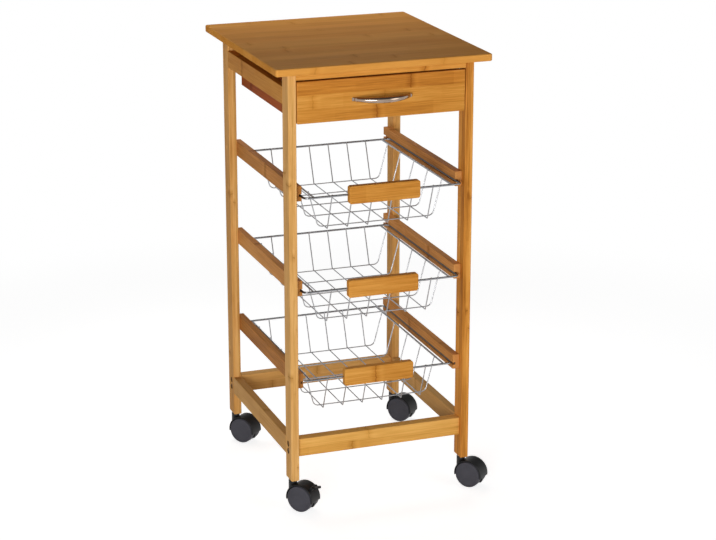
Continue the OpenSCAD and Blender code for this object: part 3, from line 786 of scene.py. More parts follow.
def node_copy(node: str, name: str) -> Piece:
    """Makes a merged copy of a CAD node's mesh as an object of its own.

    Args:
        node: The CAD node.
        name: The copy's name.

    Returns:
        The copy.
    """
    bm = bmesh.new()
    bm.from_mesh(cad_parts[node].data)
    bmesh.ops.remove_doubles(bm, verts=bm.verts, dist=1e-6)
    return add_mesh(name, bm)


def combine(obj: Piece, tool: Piece, operation: str) -> Piece:
    """Cuts one mesh with another, which is used up.

    Args:
        obj: The mesh that stays.
        tool: The other mesh.
        operation: INTERSECT or DIFFERENCE.

    Returns:
        The first object.
    """
    modifier = obj.modifiers.new("combine", "BOOLEAN")
    modifier.operation = operation
    modifier.solver = "EXACT"
    modifier.object = tool
    freeze(obj)
    drop(tool)
    return obj


def round_over(obj: Piece, picked: Callable[[Vector], bool], radius: float, steps: int) -> None:
    """Rounds the edges whose two ends are picked.

    Args:
        obj: The object.
        picked: Tells whether a point, in metres, belongs to such an edge.
        radius: The rounding in millimetres.
        steps: The steps in it.
    """
    bm = bmesh.new()
    bm.from_mesh(obj.data)
    bmesh.ops.dissolve_limit(bm, angle_limit=math.radians(0.5), verts=bm.verts, edges=bm.edges)
    edges = [e for e in bm.edges if e.calc_face_angle(0.0) > 1.0 and all(picked(v.co) for v in e.verts)]
    shape = {"segments": steps, "profile": 0.5, "affect": "EDGES", "clamp_overlap": True}
    bmesh.ops.bevel(bm, geom=edges, offset=radius * MM, **shape)
    bmesh.ops.recalc_face_normals(bm, faces=bm.faces)
    bm.to_mesh(obj.data)
    bm.free()


def smooth(obj: Piece, angle: float) -> Piece:
    """Shades an object smooth but for its sharp edges.

    Args:
        obj: The object.
        angle: The angle past which an edge stays sharp, in degrees.

    Returns:
        The same object.
    """
    obj.data.shade_smooth()
    obj.data.set_sharp_from_angle(angle=math.radians(angle))
    return obj


def soften(obj: Piece, angle: float) -> Piece:
    """Shades curves smooth and keeps flat faces flat.

    Args:
        obj: The object.
        angle: The angle past which an edge stays sharp, in degrees.

    Returns:
        The same object.
    """
    modifier = smooth(obj, angle).modifiers.new("even_normals", "WEIGHTED_NORMAL")
    modifier.mode = "FACE_AREA"
    modifier.weight = 90
    modifier.keep_sharp = True
    return freeze(obj)


def joined(name: str, parts: list[Piece]) -> Piece:
    """Joins objects at the origin to one smooth mesh.

    Args:
        name: The new object's name.
        parts: The objects, which are used up.

    Returns:
        The new object.
    """
    bm = bmesh.new()
    for part in parts:
        bm.from_mesh(part.data)
        drop(part)
    return smooth(add_mesh(name, bm), 40.0)


def seat(obj: Piece, body: str, slot: Slot, paint: Paint, *nodes: str) -> Piece:
    """Gives a finished piece its material and body.

    Args:
        obj: The piece.
        body: The CAD body it moves with.
        slot: Its material slot; not used.
        paint: Its material.
        nodes: The CAD nodes that it stands for.

    Returns:
        The piece.
    """
    obj.data.materials.clear()
    obj.data.materials.append(paint)
    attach(obj, body)
    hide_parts(*nodes)
    LOG.info("piece %s on %s, %d faces", obj.name, body, len(obj.data.polygons))
    return obj


def repaint(node: str, paint: Paint) -> None:
    """Gives a CAD node that stays a better material.

    Args:
        node: The CAD node.
        paint: The material.
    """
    for material_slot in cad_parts[node].material_slots:
        material_slot.material = paint
    LOG.info("node %s keeps its mesh", node)


# Repeated pieces


class NodeTool:
    """A Geometry Nodes tree with named inputs, whose result is frozen to plain mesh."""

    def __init__(self, name: str, inputs: dict[str, str]) -> None:
        """Starts the tree.

        Args:
            name: The tree's name.
            inputs: Socket type of each input after the geometry, by its name.
        """
        self.tree = bpy.data.node_groups.new(name, "GeometryNodeTree")
        self.graph = Graph(self.tree)
        self.sockets = {}
        for label, kind in {"Geometry": "Geometry", **inputs, "Material": "Material"}.items():
            made = self.tree.interface.new_socket(label, in_out="INPUT", socket_type=f"NodeSocket{kind}")
            self.sockets[label] = made.identifier
        self.tree.interface.new_socket("Geometry", in_out="OUTPUT", socket_type="NodeSocketGeometry")
        self.given = self.graph.node("NodeGroupInput").outputs

    def close(self, geometry: Socket) -> None:
        """Ends the tree in Realize Instances and Set Material.

        Args:
            geometry: What the tree has made.
        """
        real = self.graph.out("GeometryNodeRealizeInstances", inputs={0: geometry})
        inputs = {0: real, "Material": self.given["Material"]}
        done = self.graph.out("GeometryNodeSetMaterial", inputs=inputs)
        self.graph.node("NodeGroupOutput", inputs={0: done})

    def run(self, obj: Piece, values: dict) -> Piece:
        """Runs the tree on an object.

        Args:
            obj: The object with the paths or points.
            values: The value of each named input.

        Returns:
            The object, as plain mesh.
        """
        modifier = obj.modifiers.new(self.tree.name, "NODES")
        modifier.node_group = self.tree
        for name, value in values.items():
            modifier[self.sockets[name]] = value
        return freeze(obj)


def wire_tool() -> NodeTool:
    """The tree that draws one bent wire along a path and sets it out in an even row.

    Returns:
        The tree.
    """
    floats = {"Wire radius": "Float", "Bend radius": "Float"}
    counts = {"Bend steps": "Int", "Sides": "Int", "Count": "Int"}
    tool = NodeTool("wire_row", {**floats, **counts, "First": "Vector", "Step": "Vector"})
    graph, given = tool.graph, tool.given
    path = graph.out("GeometryNodeMeshToCurve", inputs={0: given["Geometry"]})
    inputs = {"Curve": path, "Radius": given["Bend radius"], "Count": given["Bend steps"]}
    bent = graph.out("GeometryNodeFilletCurve", {"mode": "POLY"}, {**inputs, "Limit Radius": True})
    inputs = {"Resolution": given["Sides"], "Radius": given["Wire radius"]}
    ring = graph.out("GeometryNodeCurvePrimitiveCircle", {"mode": "RADIUS"}, inputs)
    inputs = {"Curve": bent, "Profile Curve": ring, "Fill Caps": True}
    wire = graph.out("GeometryNodeCurveToMesh", inputs=inputs)
    inputs = {"Count": given["Count"], "Start Location": given["First"], "Offset": given["Step"]}
    row = graph.out("GeometryNodeMeshLine", {"mode": "OFFSET"}, inputs)
    tool.close(graph.out("GeometryNodeInstanceOnPoints", inputs={"Points": row, "Instance": wire}))
    return tool


def row_tool() -> NodeTool:
    """The tree that puts a copy of one small part on each point, turned to the point's aim.

    Returns:
        The tree.
    """
    tool = NodeTool("set_out", {"Part": "Object"})
    graph, given = tool.graph, tool.given
    part = graph.node("GeometryNodeObjectInfo", inputs={"Object": given["Part"], "As Instance": True})
    aim = graph.out("GeometryNodeInputNamedAttribute", {"data_type": "FLOAT_VECTOR"}, {"Name": "aim"})
    turn = graph.out("FunctionNodeAlignRotationToVector", {"axis": "Z"}, {"Vector": aim})
    inputs = {"Points": given["Geometry"], "Instance": part.outputs["Geometry"], "Rotation": turn}
    tool.close(graph.out("GeometryNodeInstanceOnPoints", inputs=inputs))
    return tool


class Recess(Enum):
    """What turns a screw."""

    CROSS = "cross"
    SOCKET = "socket"
    SLOT = "slot"


@dataclass(frozen=True)
class Screw:
    """A screw or bolt, drawn with its head's face up at the origin, by the head's and shank's radii."""

    head: float
    height: float
    shank: float
    length: float
    recess: Recess = Recess.CROSS
    flat: bool = False
    steps: int = 24

    def build(self) -> Piece:
        """Makes the screw.

        Returns:
            The object, centred on the origin.
        """
        h, r, s = self.height, self.head, self.shank
        if self.flat:
            head = [(0.0, 0.0), (0.0, r * 0.93), (-0.15, r), (-h, s)]
        else:
            crown = min(0.35 * h, 0.8)
            head = [(0.0, 0.0), (0.0, r * 0.55), (-crown * 0.35, r * 0.85), (-crown, r)]
            head += [(-h + 0.1, r), (-h, r - 0.1), (-h, s)]
        end = -h - self.length
        form = Form()
        form.turned([*head, (end + s * 0.5, s), (end, s * 0.45), (end, 0.0)], Axis.Z, ORIGIN, self.steps)
        screw = form.finish("screw")
        for cutter in self._cutters():
            combine(screw, cutter, "DIFFERENCE")
        return screw

    def _cutters(self) -> list[Piece]:
        """Makes the tools that cut the recess into the head.

        Returns:
            The tools.
        """
        h, r = self.height, self.head
        if self.recess is Recess.SOCKET:
            form = Form()
            hexagon = [(-0.6 * h, 0.0), (-0.6 * h, 0.5 * r), (1.0, 0.5 * r), (1.0, 0.0)]
            form.turned(hexagon, Axis.Z, ORIGIN, 6)
            return [form.finish("cutter")]
        arms = [(1.2, 0.16)] if self.recess is Recess.SLOT else [(0.58, 0.17), (0.17, 0.58)]
        depth = h * (0.3 if self.recess is Recess.SLOT else 0.55)
        cutters = []
        for x, y in arms:
            form = Form()
            form.slab(Vector((-x * r, -y * r, -depth)), Vector((x * r, y * r, 1.0)), Axis.Z, 0.03, 0.02, 1)
            cutters.append(form.finish("cutter"))
        return cutters


@dataclass
class Shop:
    """What every sub-assembly shares: the trees and the finishes that several pieces use."""

    wires: NodeTool = field(default_factory=wire_tool)
    rows: NodeTool = field(default_factory=row_tool)
    finishes: dict[str, Paint] = field(default_factory=dict)

    def __post_init__(self) -> None:
        """Builds the shared finishes."""
        self.finishes = {name: finish.material(name) for name, finish in FINISHES.items()}

    def seat(self, obj: Piece, body: str, slot: Slot, *nodes: str, finish: str = "") -> None:
        """Seats a piece with a shared finish.

        Args:
            obj: The piece.
            body: The CAD body it moves with.
            slot: Its material slot.
            nodes: The CAD nodes that it stands for.
            finish: The finish's name, if it isn't the slot's own.
        """
        seat(obj, body, slot, self.finishes[finish or slot.value], *nodes)

    def set_out(self, name: str, part: Piece, spots: Aims, paint: Paint) -> Piece:
        """Copies a small part, which is used up, to each spot.

        Args:
            name: The new piece's name.
            part: The part, drawn at the origin with its head up.
            spots: Place in millimetres and aim of each copy.
            paint: The piece's material.

        Returns:
            The piece.
        """
        holder = add_points(name, [place for place, _ in spots], [])
        aims = holder.data.attributes.new("aim", "FLOAT_VECTOR", "POINT")
        aims.data.foreach_set("vector", [c for _, aim in spots for c in aim])
        self.rows.run(holder, {"Part": part, "Material": paint})
        drop(part)
        return smooth(holder, 35.0)

    def fasten(
        self, node: str, screw: Screw, spots: Aims, body: str = "cart_frame", finish: str = ""
    ) -> None:
        """Sets out one node of equal screws.

        Args:
            node: The CAD node, a plural.
            screw: The screw.
            spots: Place and aim of each screw's head.
            body: The body that they ride on.
            finish: The finish's name, if it isn't the zinc.
        """
        paint = self.finishes[finish or Slot.ZINC.value]
        name = node.replace("screws", "screw_set").replace("bolts", "bolt_set").replace("nuts", "nut_set")
        self.seat(self.set_out(name, screw.build(), spots, paint), body, Slot.ZINC, node, finish=finish)


# Sub-assemblies


@dataclass(frozen=True)
class Board:
    """One bamboo board: the CAD node's shape with its edges rounded."""

    node: str
    grain: Axis
    strips: tuple[float, float]
    seed: int
    look: Look = Look()
    body: str = "cart_frame"
    edge: float = 1.2
    corner: float | None = None
    flat: Axis | None = None
    slot: Slot = Slot.BAMBOO

    def build(self) -> None:
        """Makes the board."""
        low, high = (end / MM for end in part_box(self.node))
        slack = Vector((0.01, 0.01, 0.01))
        along, corner = self.flat or self.grain, self.corner or self.edge
        form = Form()
        form.slab(low - slack, high + slack, along, corner, self.edge, 5)
        name = "board_" + self.node
        board = soften(combine(node_copy(self.node, name), form.finish("tool"), "INTERSECT"), 30.0)
        finish = Bamboo(self.grain, tuple(low), self.strips, self.seed, self.look)
        seat(board, self.body, self.slot, finish.material(name), self.node)


@dataclass
class WoodenFrame:
    """The legs, aprons, rails and top, with the strips that each is glued up from."""

    top_strips: tuple[float, float] = (25.0, 12.0)
    leg_strips: tuple[float, float] = (4.7, 15.0)
    apron_strips: tuple[float, float] = (14.0, 29.0)
    side_strips: tuple[float, float] = (14.0, 31.0)
    rail_strips: tuple[float, float] = (12.0, 25.5)
    runner_strips: tuple[float, float] = (6.0, 9.0)
    low_strips: tuple[float, float] = (19.0, 15.5)

    def boards(self) -> list[Board]:
        """Lists the frame's boards.

        Returns:
            The boards.
        """
        top = Look(Tone.TOP, 235.0, 0.50, 0.004, 0.18, 0.97)
        made = [Board("tabletop", Axis.X, self.top_strips, 4, top, edge=2.2, corner=5.0, flat=Axis.Z)]
        for i, place in enumerate(CORNERS):
            # The front-right leg's darker, redder top tone is partly its own tone and partly painted shade
            # for the less lit right side
            tone = Tone.TOP if place == "front_right" else Tone.PALE
            look = Look(tone, 290.0, 1.3, bolted=True)
            made.append(Board(f"leg_{place}", Axis.Z, self.leg_strips, 11 + i, look, edge=1.5))
        for i, side in enumerate(SIDES):
            apron, low = Look(light=0.88), Look(Tone.PALE, light=0.84)
            # Painted shade: the left rails' end grain is darker than the right rails', standing in for the
            # shadow of the legs in front of it
            rail = Look(Tone.RAIL, end_shade=0.0 if side == "left" else 0.24)
            made.append(Board(f"side_apron_{side}", Axis.Y, self.apron_strips, 21 + i, apron))
            made.append(Board(f"lower_side_rail_{side}", Axis.Y, self.side_strips, 25 + i, low))
            for k, level in enumerate(RIM_Z):
                node, seed = f"basket_rail_{level}_{side}", 31 + 2 * k + i
                made.append(Board(node, Axis.Y, self.rail_strips, seed, rail, edge=0.9, slot=Slot.BROWN))
            node, look = f"drawer_runner_{side}", Look(Tone.RED)
            made.append(Board(node, Axis.Y, self.runner_strips, 41 + i, look, edge=0.6, slot=Slot.BROWN))
        made.append(Board("rear_apron", Axis.X, (14.0, 18.4), 51))
        made.append(Board("top_front_rail", Axis.X, (22.0, 12.0), 52))
        made.append(Board("lower_front_rail", Axis.X, self.low_strips, 53, Look(Tone.AMBER)))
        made.append(Board("lower_rear_rail", Axis.X, self.low_strips, 54, Look(Tone.PALE)))
        return made

    def build(self) -> None:
        """Builds the boards."""
        for board in self.boards():
            board.build()


@dataclass
class Fasteners:
    """The frame's bolts, barrel nuts and screws, by the places of their heads' faces."""

    shop: Shop
    bolt_x: float = 158.5
    nut_x: float = 122.0
    nut_back: float = 9.0
    rail_x: float = 139.0
    rail_y: float = 165.0
    top_x: float = 87.6
    top_ys: tuple[float, float] = (-165.5, 172.5)
    top_z: float = 736.0

    def build(self) -> None:
        """Builds the frame's fasteners."""
        bolts, nuts, rails, tops = [], [], [], []
        for sx in (-1, 1):
            for sy in (-1, 1):
                y = sy * BOLT_Y + MIDDLE_Y
                for z in BOLT_Z:
                    bolts.append((Vector((sx * self.bolt_x, y, z)), RIGHT * sx))
                    nuts.append((Vector((sx * self.nut_x, y + self.nut_back, z)), BACK))
                for z in RIM_Z.values():
                    rails.append((Vector((sx * self.rail_x, sy * self.rail_y + MIDDLE_Y, z)), RIGHT * -sx))
            for y in self.top_ys:
                tops.append((Vector((sx * self.top_x, y, self.top_z)), -UP))
        fasten = self.shop.fasten
        fasten("frame_bolts", Screw(4.25, 3.0, 2.5, 37.4, Recess.SOCKET), bolts, finish=BOLT_STEEL)
        fasten("barrel_nuts", Screw(4.5, 1.0, 4.49, 13.4, Recess.SLOT, steps=28), nuts)
        fasten("rail_screws", Screw(2.6, 1.4, 1.4, 11.9, flat=True), rails)
        fasten("top_screws", Screw(3.5, 3.0, 1.9, 15.9), tops)


@dataclass
class Drawer:
    """The drawer: its front, box, panel and bow pull."""

    shop: Shop
    body: str = "drawer"
    box_strips: tuple[float, float] = (12.0, 28.0)
    front_y: float = -177.5
    screw_y: float = -165.8
    pull_z: float = 699.25
    half: float = 52.0
    out: float = 27.0
    thick: float = 9.0
    tall: float = 10.0
    tall_end: float = 6.0
    foot_x: float = 46.0
    foot_long: float = 8.5
    slack: float = 0.02
    slices: int = 72
    points: int = 28
    squareness: float = 0.92

    def build(self) -> None:
        """Builds the drawer."""
        front = Look(joint_pitch=170.0)
        Board("drawer_front", Axis.X, (12.0, 22.9), 61, front, self.body, 1.6).build()
        red, size = Look(Tone.RED), self.box_strips
        parts = (("side_left", Axis.Y, 63), ("side_right", Axis.Y, 64), ("back", Axis.X, 66))
        for part, grain, seed in parts:
            Board(f"drawer_{part}", grain, size, seed, red, self.body, 0.9, slot=Slot.BROWN).build()
        repaint("drawer_bottom", self.shop.finishes[Slot.PLYWOOD.value])
        self.pull()
        spots = [(Vector((sx * self.foot_x, self.screw_y, self.pull_z)), BACK) for sx in (-1, 1)]
        self.shop.fasten("pull_screws", Screw(3.7, 2.2, 2.0, 13.0), spots, self.body)

    def pull(self) -> None:
        """Builds the bow pull from slices across it, between two arcs."""
        form = Form()
        inner_half, inner_out = self.half - self.foot_long, self.out - self.thick
        outer_r = (self.half**2 + self.out**2) / (2 * self.out)
        inner_r = (inner_half**2 + inner_out**2) / (2 * inner_out)
        limit = self.half - 0.15
        rings = []
        for i in range(self.slices + 1):
            x = max(-limit, min(limit, -self.half * math.cos(math.pi * i / self.slices)))
            front = self.front_y - self.out + outer_r - math.sqrt(outer_r**2 - x * x)
            back = self.front_y
            if abs(x) < inner_half:
                back = min(back, self.front_y - inner_out + inner_r - math.sqrt(inner_r**2 - x * x))
            tall = self.tall - (self.tall - self.tall_end) * (x / self.half) ** 2
            rings.append(self._slice(x, front + self.slack, back - self.slack, tall - 0.1))
        form.rings(rings)
        foot = [(-6.0, 0.0), (-6.0, 3.0), (-5.0, 3.3), (-0.4, 3.3), (0.0, 3.38), (0.0, 0.0)]
        for sx in (-1, 1):
            form.turned(foot, Axis.Y, Vector((sx * self.foot_x, self.front_y, self.pull_z)), self.points)
        self.shop.seat(soften(form.finish("bow_pull"), 50.0), self.body, Slot.PULL, "drawer_pull")

    def _slice(self, x: float, front: float, back: float, tall: float) -> list[Vector]:
        """One rounded slice of the bow.

        Args:
            x: Its place along the pull.
            front: Its outer edge.
            back: Its inner edge.
            tall: Its height.

        Returns:
            Its points.
        """
        middle, deep = (front + back) / 2, max((back - front) / 2, 0.05)
        points = []
        for k in range(self.points):
            angle = 2 * math.pi * k / self.points
            around = (math.cos(angle), math.sin(angle))
            c, s = (math.copysign(abs(part) ** self.squareness, part) for part in around)
            points.append(Vector((x, middle + c * deep, self.pull_z + s * tall / 2)))
        return points


@dataclass(frozen=True)
class WireRow:
    """Equal bent wires in an even row, in millimetres."""

    radius: float
    bend: float
    bend_steps: int
    sides: int = 12
    count: int = 1
    first: Vector | Spot = (0.0, 0.0, 0.0)
    step: Vector | Spot = (0.0, 0.0, 0.0)

    def draw(self, shop: Shop, points: list[Vector], paint: Paint, closed: bool = False) -> Piece:
        """Draws the wires.

        Args:
            shop: The shop with the tree.
            points: The corners of a wire's path.
            paint: The wires' material.
            closed: Whether the path is a ring.

        Returns:
            The wires as plain mesh.
        """
        last = len(points) - 1
        edges = [(i, i + 1) for i in range(last)] + ([(last, 0)] if closed else [])
        values = {
            "Wire radius": self.radius * MM, "Bend radius": self.bend * MM, "Bend steps": self.bend_steps,
            "Sides": self.sides, "Count": self.count, "First": Vector(self.first) * MM,
            "Step": Vector(self.step) * MM, "Material": paint,
        }
        return smooth(shop.wires.run(add_points("wires", points, edges), values), 50.0)


@dataclass
class Basket:
    """One wire basket with its wooden handle."""

    shop: Shop
    level: str
    front_y: float
    seed: int
    half_x: float = 136.3
    depth: float = 328.0
    height: float = 62.0
    rim_r: float = 1.8
    wire_r: float = 1.0
    corner: float = 8.0
    side_x: float = 119.5
    side_r: float = 1.6
    weld: float = 0.15
    tail: float = 0.6
    lean_ends: float = 25.0
    lean_sides: float = 16.0
    bend_ends: float = 1.6
    bend_sides: float = 10.0
    long_wires: int = 6
    long_step: float = 35.2
    cross_wires: int = 5
    cross_step: float = 63.52
    screw_y: float = 5.8
    screw_z: float = 3.4

    @property
    def rim_z(self) -> float:
        """The height of the rim's middle."""
        return RIM_Z[self.level]

    @property
    def first_x(self) -> float:
        """The place of the first wire that runs from front to back."""
        return -(self.long_wires - 1) / 2 * self.long_step

    @property
    def first_y(self) -> float:
        """The place of the first wire that runs from side to side."""
        return self.front_y + self.depth / 2 - (self.cross_wires - 1) / 2 * self.cross_step

    def hung(self, lean: float, drop: float, span: float, hold_r: float) -> Profile:
        """The path of a wire that hangs from two thicker ones.

        Args:
            lean: How far it leans in at the floor.
            drop: Its depth below them.
            span: The distance between them.
            hold_r: Their radius.

        Returns:
            Place along the span and height of each corner.
        """
        a = math.atan2(drop, lean)
        off = hold_r + self.wire_r - self.weld
        floor = off * math.sin(a) + (off * math.cos(a) + drop) / math.sin(a) * math.cos(a)
        start = (off * math.sin(a) - self.tail * math.cos(a), off * math.cos(a) + self.tail * math.sin(a))
        return [start, (floor, -drop), (span - floor, -drop), (span - start[0], start[1])]

    def build(self) -> None:
        """Builds the basket."""
        body = f"basket_{self.level}"
        self.shop.seat(self.rim(), body, Slot.WIRE, f"basket_rim_{self.level}")
        thin = self.shop.finishes[THIN_WIRE]
        parts = [self.long_row(thin), self.cross_row(thin), self.beads(thin)]
        mesh = joined(f"basket_mesh_{self.level}", parts)
        self.shop.seat(mesh, body, Slot.WIRE, f"basket_wires_{self.level}", finish=THIN_WIRE)
        node, look = f"basket_handle_{self.level}", Look(joint_pitch=150.0)
        Board(node, Axis.X, (12.0, 30.0), self.seed, look, body, 1.4, 4.0, Axis.Y).build()
        places = [(sx, sz) for sx in (-1, 1) for sz in (-1, 1)]
        y, z = self.front_y + self.screw_y, self.rim_z
        spots = [(Vector((sx * self.long_step, y, z + sz * self.screw_z)), BACK) for sx, sz in places]
        self.shop.fasten(f"handle_screws_{self.level}", Screw(2.9, 1.6, 1.4, 8.0), spots, body)

    def rim(self) -> Piece:
        """Makes the rim wire and the two straight wires inside it that the sides hang from.

        Returns:
            The wires.
        """
        paint = self.shop.finishes[Slot.WIRE.value]
        y0, y1, x, z = self.front_y, self.front_y + self.depth, self.half_x, self.rim_z
        ring = [Vector((-x, y0, z)), Vector((x, y0, z)), Vector((x, y1, z)), Vector((-x, y1, z))]
        hoop = WireRow(self.rim_r, self.corner, 10, 20).draw(self.shop, ring, paint, closed=True)
        row = WireRow(self.side_r, 1.0, 1, 20, 2, RIGHT * -self.side_x, RIGHT * 2 * self.side_x)
        sides = row.draw(self.shop, [Vector((0, y0, z)), Vector((0, y1, z))], paint)
        return joined(f"basket_hoop_{self.level}", [hoop, sides])

    def long_row(self, paint: Paint) -> Piece:
        """Makes the wires that run from front to back.

        Args:
            paint: Their material.

        Returns:
            The wires.
        """
        path = self.hung(self.lean_ends, self.height, self.depth, self.rim_r)
        points = [Vector((0, y, z)) for y, z in path]
        first = Vector((self.first_x, self.front_y, self.rim_z))
        row = WireRow(self.wire_r, self.bend_ends, 4, 12, self.long_wires, first, RIGHT * self.long_step)
        return row.draw(self.shop, points, paint)

    def cross_row(self, paint: Paint) -> Piece:
        """Makes the wires that run from side to side.

        Args:
            paint: Their material.

        Returns:
            The wires.
        """
        drop = self.height - 2 * self.wire_r + self.weld
        path = self.hung(self.lean_sides, drop, 2 * self.side_x, self.side_r)
        points = [Vector((x, 0, z)) for x, z in path]
        first = Vector((-self.side_x, self.first_y, self.rim_z))
        row = WireRow(self.wire_r, self.bend_sides, 8, 12, self.cross_wires, first, BACK * self.cross_step)
        return row.draw(self.shop, points, paint)

    def beads(self, paint: Paint) -> Piece:
        """Makes the small flattened beads of weld where the wires cross.

        Args:
            paint: Their material.

        Returns:
            The beads.
        """
        form = Form()
        form.turned([(-0.7, 0.0), (-0.5, 0.6), (0.0, 0.95), (0.5, 0.6), (0.7, 0.0)], Axis.Z, ORIGIN, 8)
        first = Vector((self.first_x, self.first_y, self.rim_z - self.height + self.wire_r - self.weld / 2))
        across = [RIGHT * (i * self.long_step) for i in range(self.long_wires)]
        back = [BACK * (j * self.cross_step) for j in range(self.cross_wires)]
        spots = [(first + side + end, UP) for side in across for end in back]
        return self.shop.set_out("weld_beads", form.finish("bead"), spots, paint)


@dataclass
class Caster:
    """A twin-wheel caster, drawn round its stem with the axle on the +X side."""

    shop: Shop
    corner: str
    lever: bool = False
    stem_x: float = 153.0
    stem_y: float = 165.0
    turn: float = -50.0
    trail: float = 20.0
    wheel_r: float = 23.0
    wheel_in: float = 3.0
    wheel_out: float = 15.0
    bore: float = 2.55
    bore_end: float = 13.5
    hood_r: float = 25.6
    hood_half: float = 14.2
    shoulder: float = 1.1
    pivot: Spot = (40.506, 0.0, 43.506)
    hub_half: float = 6.0
    hub_r: float = 2.65
    pin_half: float = 8.4
    pin_r: float = 1.5
    lever_tilt: float = -14.0
    lever_start: float = 1.9
    lever_long: float = 11.9
    lever_half: float = 5.5
    lever_thick: float = 2.8
    nose_r: float = 2.98

    @property
    def place(self) -> Matrix:
        """The way from the caster's own frame to the row frame.

        Returns:
            The matrix.
        """
        sx, sy = CORNERS[self.corner]
        shift = Matrix.Translation(Vector((sx * self.stem_x, sy * self.stem_y + MIDDLE_Y, 0)))
        return shift @ Matrix.Rotation(math.radians(self.turn), 4, "Z")

    @property
    def axle(self) -> Vector:
        """The middle of the axle in the caster's own frame."""
        return Vector((self.trail, 0, self.wheel_r))

    def build(self) -> None:
        """Builds the caster."""
        self.wheels()
        self.hood()
        repaint(f"caster_axle_{self.corner}", self.shop.finishes[Slot.ZINC.value])
        if self.lever:
            self.brake()

    def wheels(self) -> None:
        """Makes the two wheels with their rimmed faces."""
        form = Form(self.place)
        r, a, b = self.wheel_r, self.wheel_in, self.wheel_out
        hub = [(self.bore_end, 0.0), (self.bore_end, self.bore), (a, self.bore)]
        tread = [(a, r - 4.0), (a + 0.2, r - 1.2), (a + 1.2, r - 0.12), (a + 3.0, r), (b - 3.0, r)]
        rim = [(b - 1.2, r - 0.25), (b - 0.35, r - 0.9), (b, r - 2.0), (b, r - 3.0), (b - 0.15, r - 3.3)]
        disc = [(b - 0.6, r - 3.6), (b - 0.55, r - 8.0), (b - 0.45, r - 14.0), (b - 0.4, 3.0)]
        profile = hub + tread + rim + disc + [(b - 0.4, 0.0)]
        for s in (-1, 1):
            form.turned([(s * y, radius) for y, radius in profile], Axis.Y, self.axle, 72)
        wheels = soften(form.finish(f"caster_wheel_pair_{self.corner}"), 32.0)
        self.shop.seat(wheels, f"wheels_{self.corner}", Slot.WHEEL, f"caster_wheels_{self.corner}")

    def hood(self) -> None:
        """Makes the hood: the CAD shape with its shoulders rounded."""
        node = f"caster_hood_{self.corner}"
        hood = node_copy(node, f"caster_shell_{self.corner}")
        to_axle = (self.place @ Matrix.Translation(self.axle)).inverted()

        def on_shoulder(spot: Vector) -> bool:
            """Tells whether a point lies on one of the hood's two outer rims.

            Args:
                spot: The point in metres.

            Returns:
                Whether it does.
            """
            local = to_axle @ (spot / MM)
            radius = math.hypot(local.x, local.z)
            return abs(abs(local.y) - self.hood_half) < 0.02 and abs(radius - self.hood_r) < 0.06

        round_over(hood, on_shoulder, self.shoulder, 4)
        self.shop.seat(soften(hood, 30.0), f"caster_{self.corner}", Slot.BLACK, node)

    def brake(self) -> None:
        """Makes the brake lever: hub, pin and a tab with a round nose."""
        form = Form(self.place)
        pivot = Vector(self.pivot)
        form.turned(rod(self.hub_half, self.hub_r, (0.3, 0.35)), Axis.Y, pivot, 28)
        form.turned(rod(self.pin_half, self.pin_r, (0.2, 0.2)), Axis.Y, pivot, 20)
        tilt = Matrix.Rotation(math.radians(self.lever_tilt), 4, "Y")
        form.place = self.place @ Matrix.Translation(pivot) @ tilt
        half, wide, long = self.lever_thick / 2, self.lever_half, self.lever_long
        low, high = Vector((self.lever_start, -wide, -half)), Vector((long + 0.2, wide, half))
        form.slab(low, high, Axis.Z, 1.2, 0.6)
        form.turned(rod(half, self.nose_r, (0.6, 0.58)), Axis.Z, Vector((long, 0, 0)), 28)
        lever = soften(form.finish("caster_brake_tab"), 35.0)
        self.shop.seat(lever, "brake_lever", Slot.BLACK, "brake_lever")


# Studio


@dataclass(frozen=True)
class Ground(Finish):
    """A pale floor that keeps the object's shadow and turns plain white further out."""

    grey: tuple[float, ...] = (0.80, 0.80, 0.80, 1.0)
    glow: float = 0.74
    fade: tuple[float, float] = (0.3, 2.2)

    def paint(self, graph: Graph) -> None:
        """Fills the material's tree.

        Args:
            graph: The tree's graph.
        """
        matt = graph.out("ShaderNodeBsdfDiffuse", inputs={"Color": self.grey})
        glow, plain = (
            graph.out("ShaderNodeEmission", inputs={"Color": WHITE, "Strength": strength})
            for strength in (self.glow, 1.0)
        )
        lit = graph.out("ShaderNodeAddShader", inputs={0: matt, 1: glow})
        x, y, _ = graph.axes(unit=1.0)
        shown = graph.blend((x * x + y * y).rise(*self.fade), lit, plain)
        mixed = graph.blend(graph.rays("Camera", "Glossy", "Transmission"), matt, shown)
        graph.node("ShaderNodeOutputMaterial", inputs={"Surface": mixed})


@dataclass(frozen=True)
class Lamp:
    """One soft box: where it hangs, its width and height, and its power in watts."""

    name: str
    place: Spot
    size: tuple[float, float]
    power: float

    def hang(self, aim: Spot) -> None:
        """Hangs the lamp.

        Args:
            aim: The point it shines at.
        """
        data = bpy.data.lights.new(self.name, "AREA")
        data.shape = "RECTANGLE"
        data.size, data.size_y = self.size
        data.energy = self.power
        lamp = add_object(self.name, data)
        lamp.location = self.place
        lamp.rotation_euler = (Vector(aim) - Vector(self.place)).to_track_quat("-Z", "Y").to_euler()


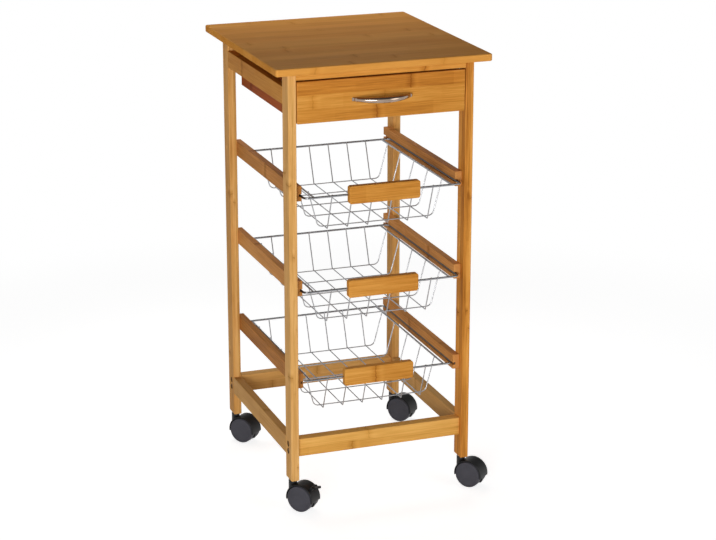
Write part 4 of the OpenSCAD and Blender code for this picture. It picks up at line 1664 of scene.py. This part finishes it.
@dataclass(frozen=True)
class Studio:
    """The white studio: world, floor, lamps and the camera at the photograph's angle."""

    lamps: tuple[Lamp, ...] = (
        Lamp("key", (-1.75, -3.25, 0.62), (1.8, 1.2), 82.0),
        Lamp("fill", (2.2, -2.6, 1.1), (1.4, 1.4), 14.0),
        Lamp("back", (0.0, 0.60, 1.10), (1.0, 0.4), 3.2),
    )
    aim: Spot = (0.0, 0.0, 0.42)
    azimuth: float = -20.06
    elevation: float = 17.44
    distance: float = 3.700
    target: Spot = (0.024, 0.0025, 0.3515)
    lens: float = 107.08
    sensor: float = 36.0
    ambient: float = 0.47
    overhead: float = 0.07
    ceiling: float = 0.12
    floor_half: float = 40.0

    def build(self) -> None:
        """Builds the studio."""
        self.world()
        self.floor()
        for lamp in self.lamps:
            lamp.hang(self.aim)
        self.camera()

    def world(self) -> None:
        """Lights the object softly from all round, less from overhead, on a white ground."""
        world = bpy.data.worlds.new("studio")
        bpy.context.scene.world = world
        world.use_nodes = True
        world.node_tree.nodes.clear()
        graph = Graph(world.node_tree)
        height = graph.axes("Generated", 1.0)[2]
        low, high, shown, dim = (
            graph.out("ShaderNodeBackground", inputs={"Color": WHITE, "Strength": strength})
            for strength in (self.ambient, self.overhead, 1.0, self.ceiling)
        )
        soft = graph.blend(height.rise(0.05, 0.7), low, high)
        glint = graph.blend(height.rise(0.10, 0.50), shown, dim)
        around = graph.blend(graph.rays("Glossy"), soft, glint)
        mixed = graph.blend(graph.rays("Camera", "Transmission"), around, shown)
        graph.node("ShaderNodeOutputWorld", inputs={"Surface": mixed})

    def floor(self) -> None:
        """Lays the floor."""
        far = self.floor_half
        corners = [(-far, -far, 0), (far, -far, 0), (far, far, 0), (-far, far, 0)]
        mesh = bpy.data.meshes.new("studio_floor")
        mesh.from_pydata(corners, [], [(0, 1, 2, 3)])
        mesh.materials.append(Ground().material("studio_floor"))
        floor = add_object("studio_floor", mesh)

    def camera(self) -> None:
        """Sets the camera up."""
        data = bpy.data.cameras.new("photo_camera")
        data.sensor_fit = "HORIZONTAL"
        data.sensor_width = self.sensor
        data.lens = self.lens
        data.clip_end = 200.0
        camera = add_object("photo_camera", data)
        turn, rise = math.radians(self.azimuth), math.radians(self.elevation)
        back = Vector((math.sin(turn) * math.cos(rise), -math.cos(turn) * math.cos(rise), math.sin(rise)))
        camera.location = Vector(self.target) + back * self.distance
        camera.rotation_euler = (-back).to_track_quat("-Z", "Y").to_euler()
        bpy.context.scene.camera = camera


def main() -> None:
    """Builds the cart piece by piece, then the studio."""
    logging.basicConfig(level=logging.INFO, format="%(name)s: %(message)s")
    bpy.context.scene.view_settings.view_transform = "Standard"
    shop = Shop()
    WoodenFrame().build()
    Fasteners(shop).build()
    Drawer(shop).build()
    for level, front_y, seed in (("upper", -185.5, 71), ("middle", -180.5, 72), ("lower", -160.5, 73)):
        Basket(shop, level, front_y, seed).build()
    for corner in CORNERS:
        Caster(shop, corner, lever=corner == "front_left").build()
    repaint("frame_dowels", shop.finishes[Slot.BEECH.value])
    repaint("caster_stems", shop.finishes[Slot.ZINC.value])
    Studio().build()


if __name__ == "__main__":
    main()
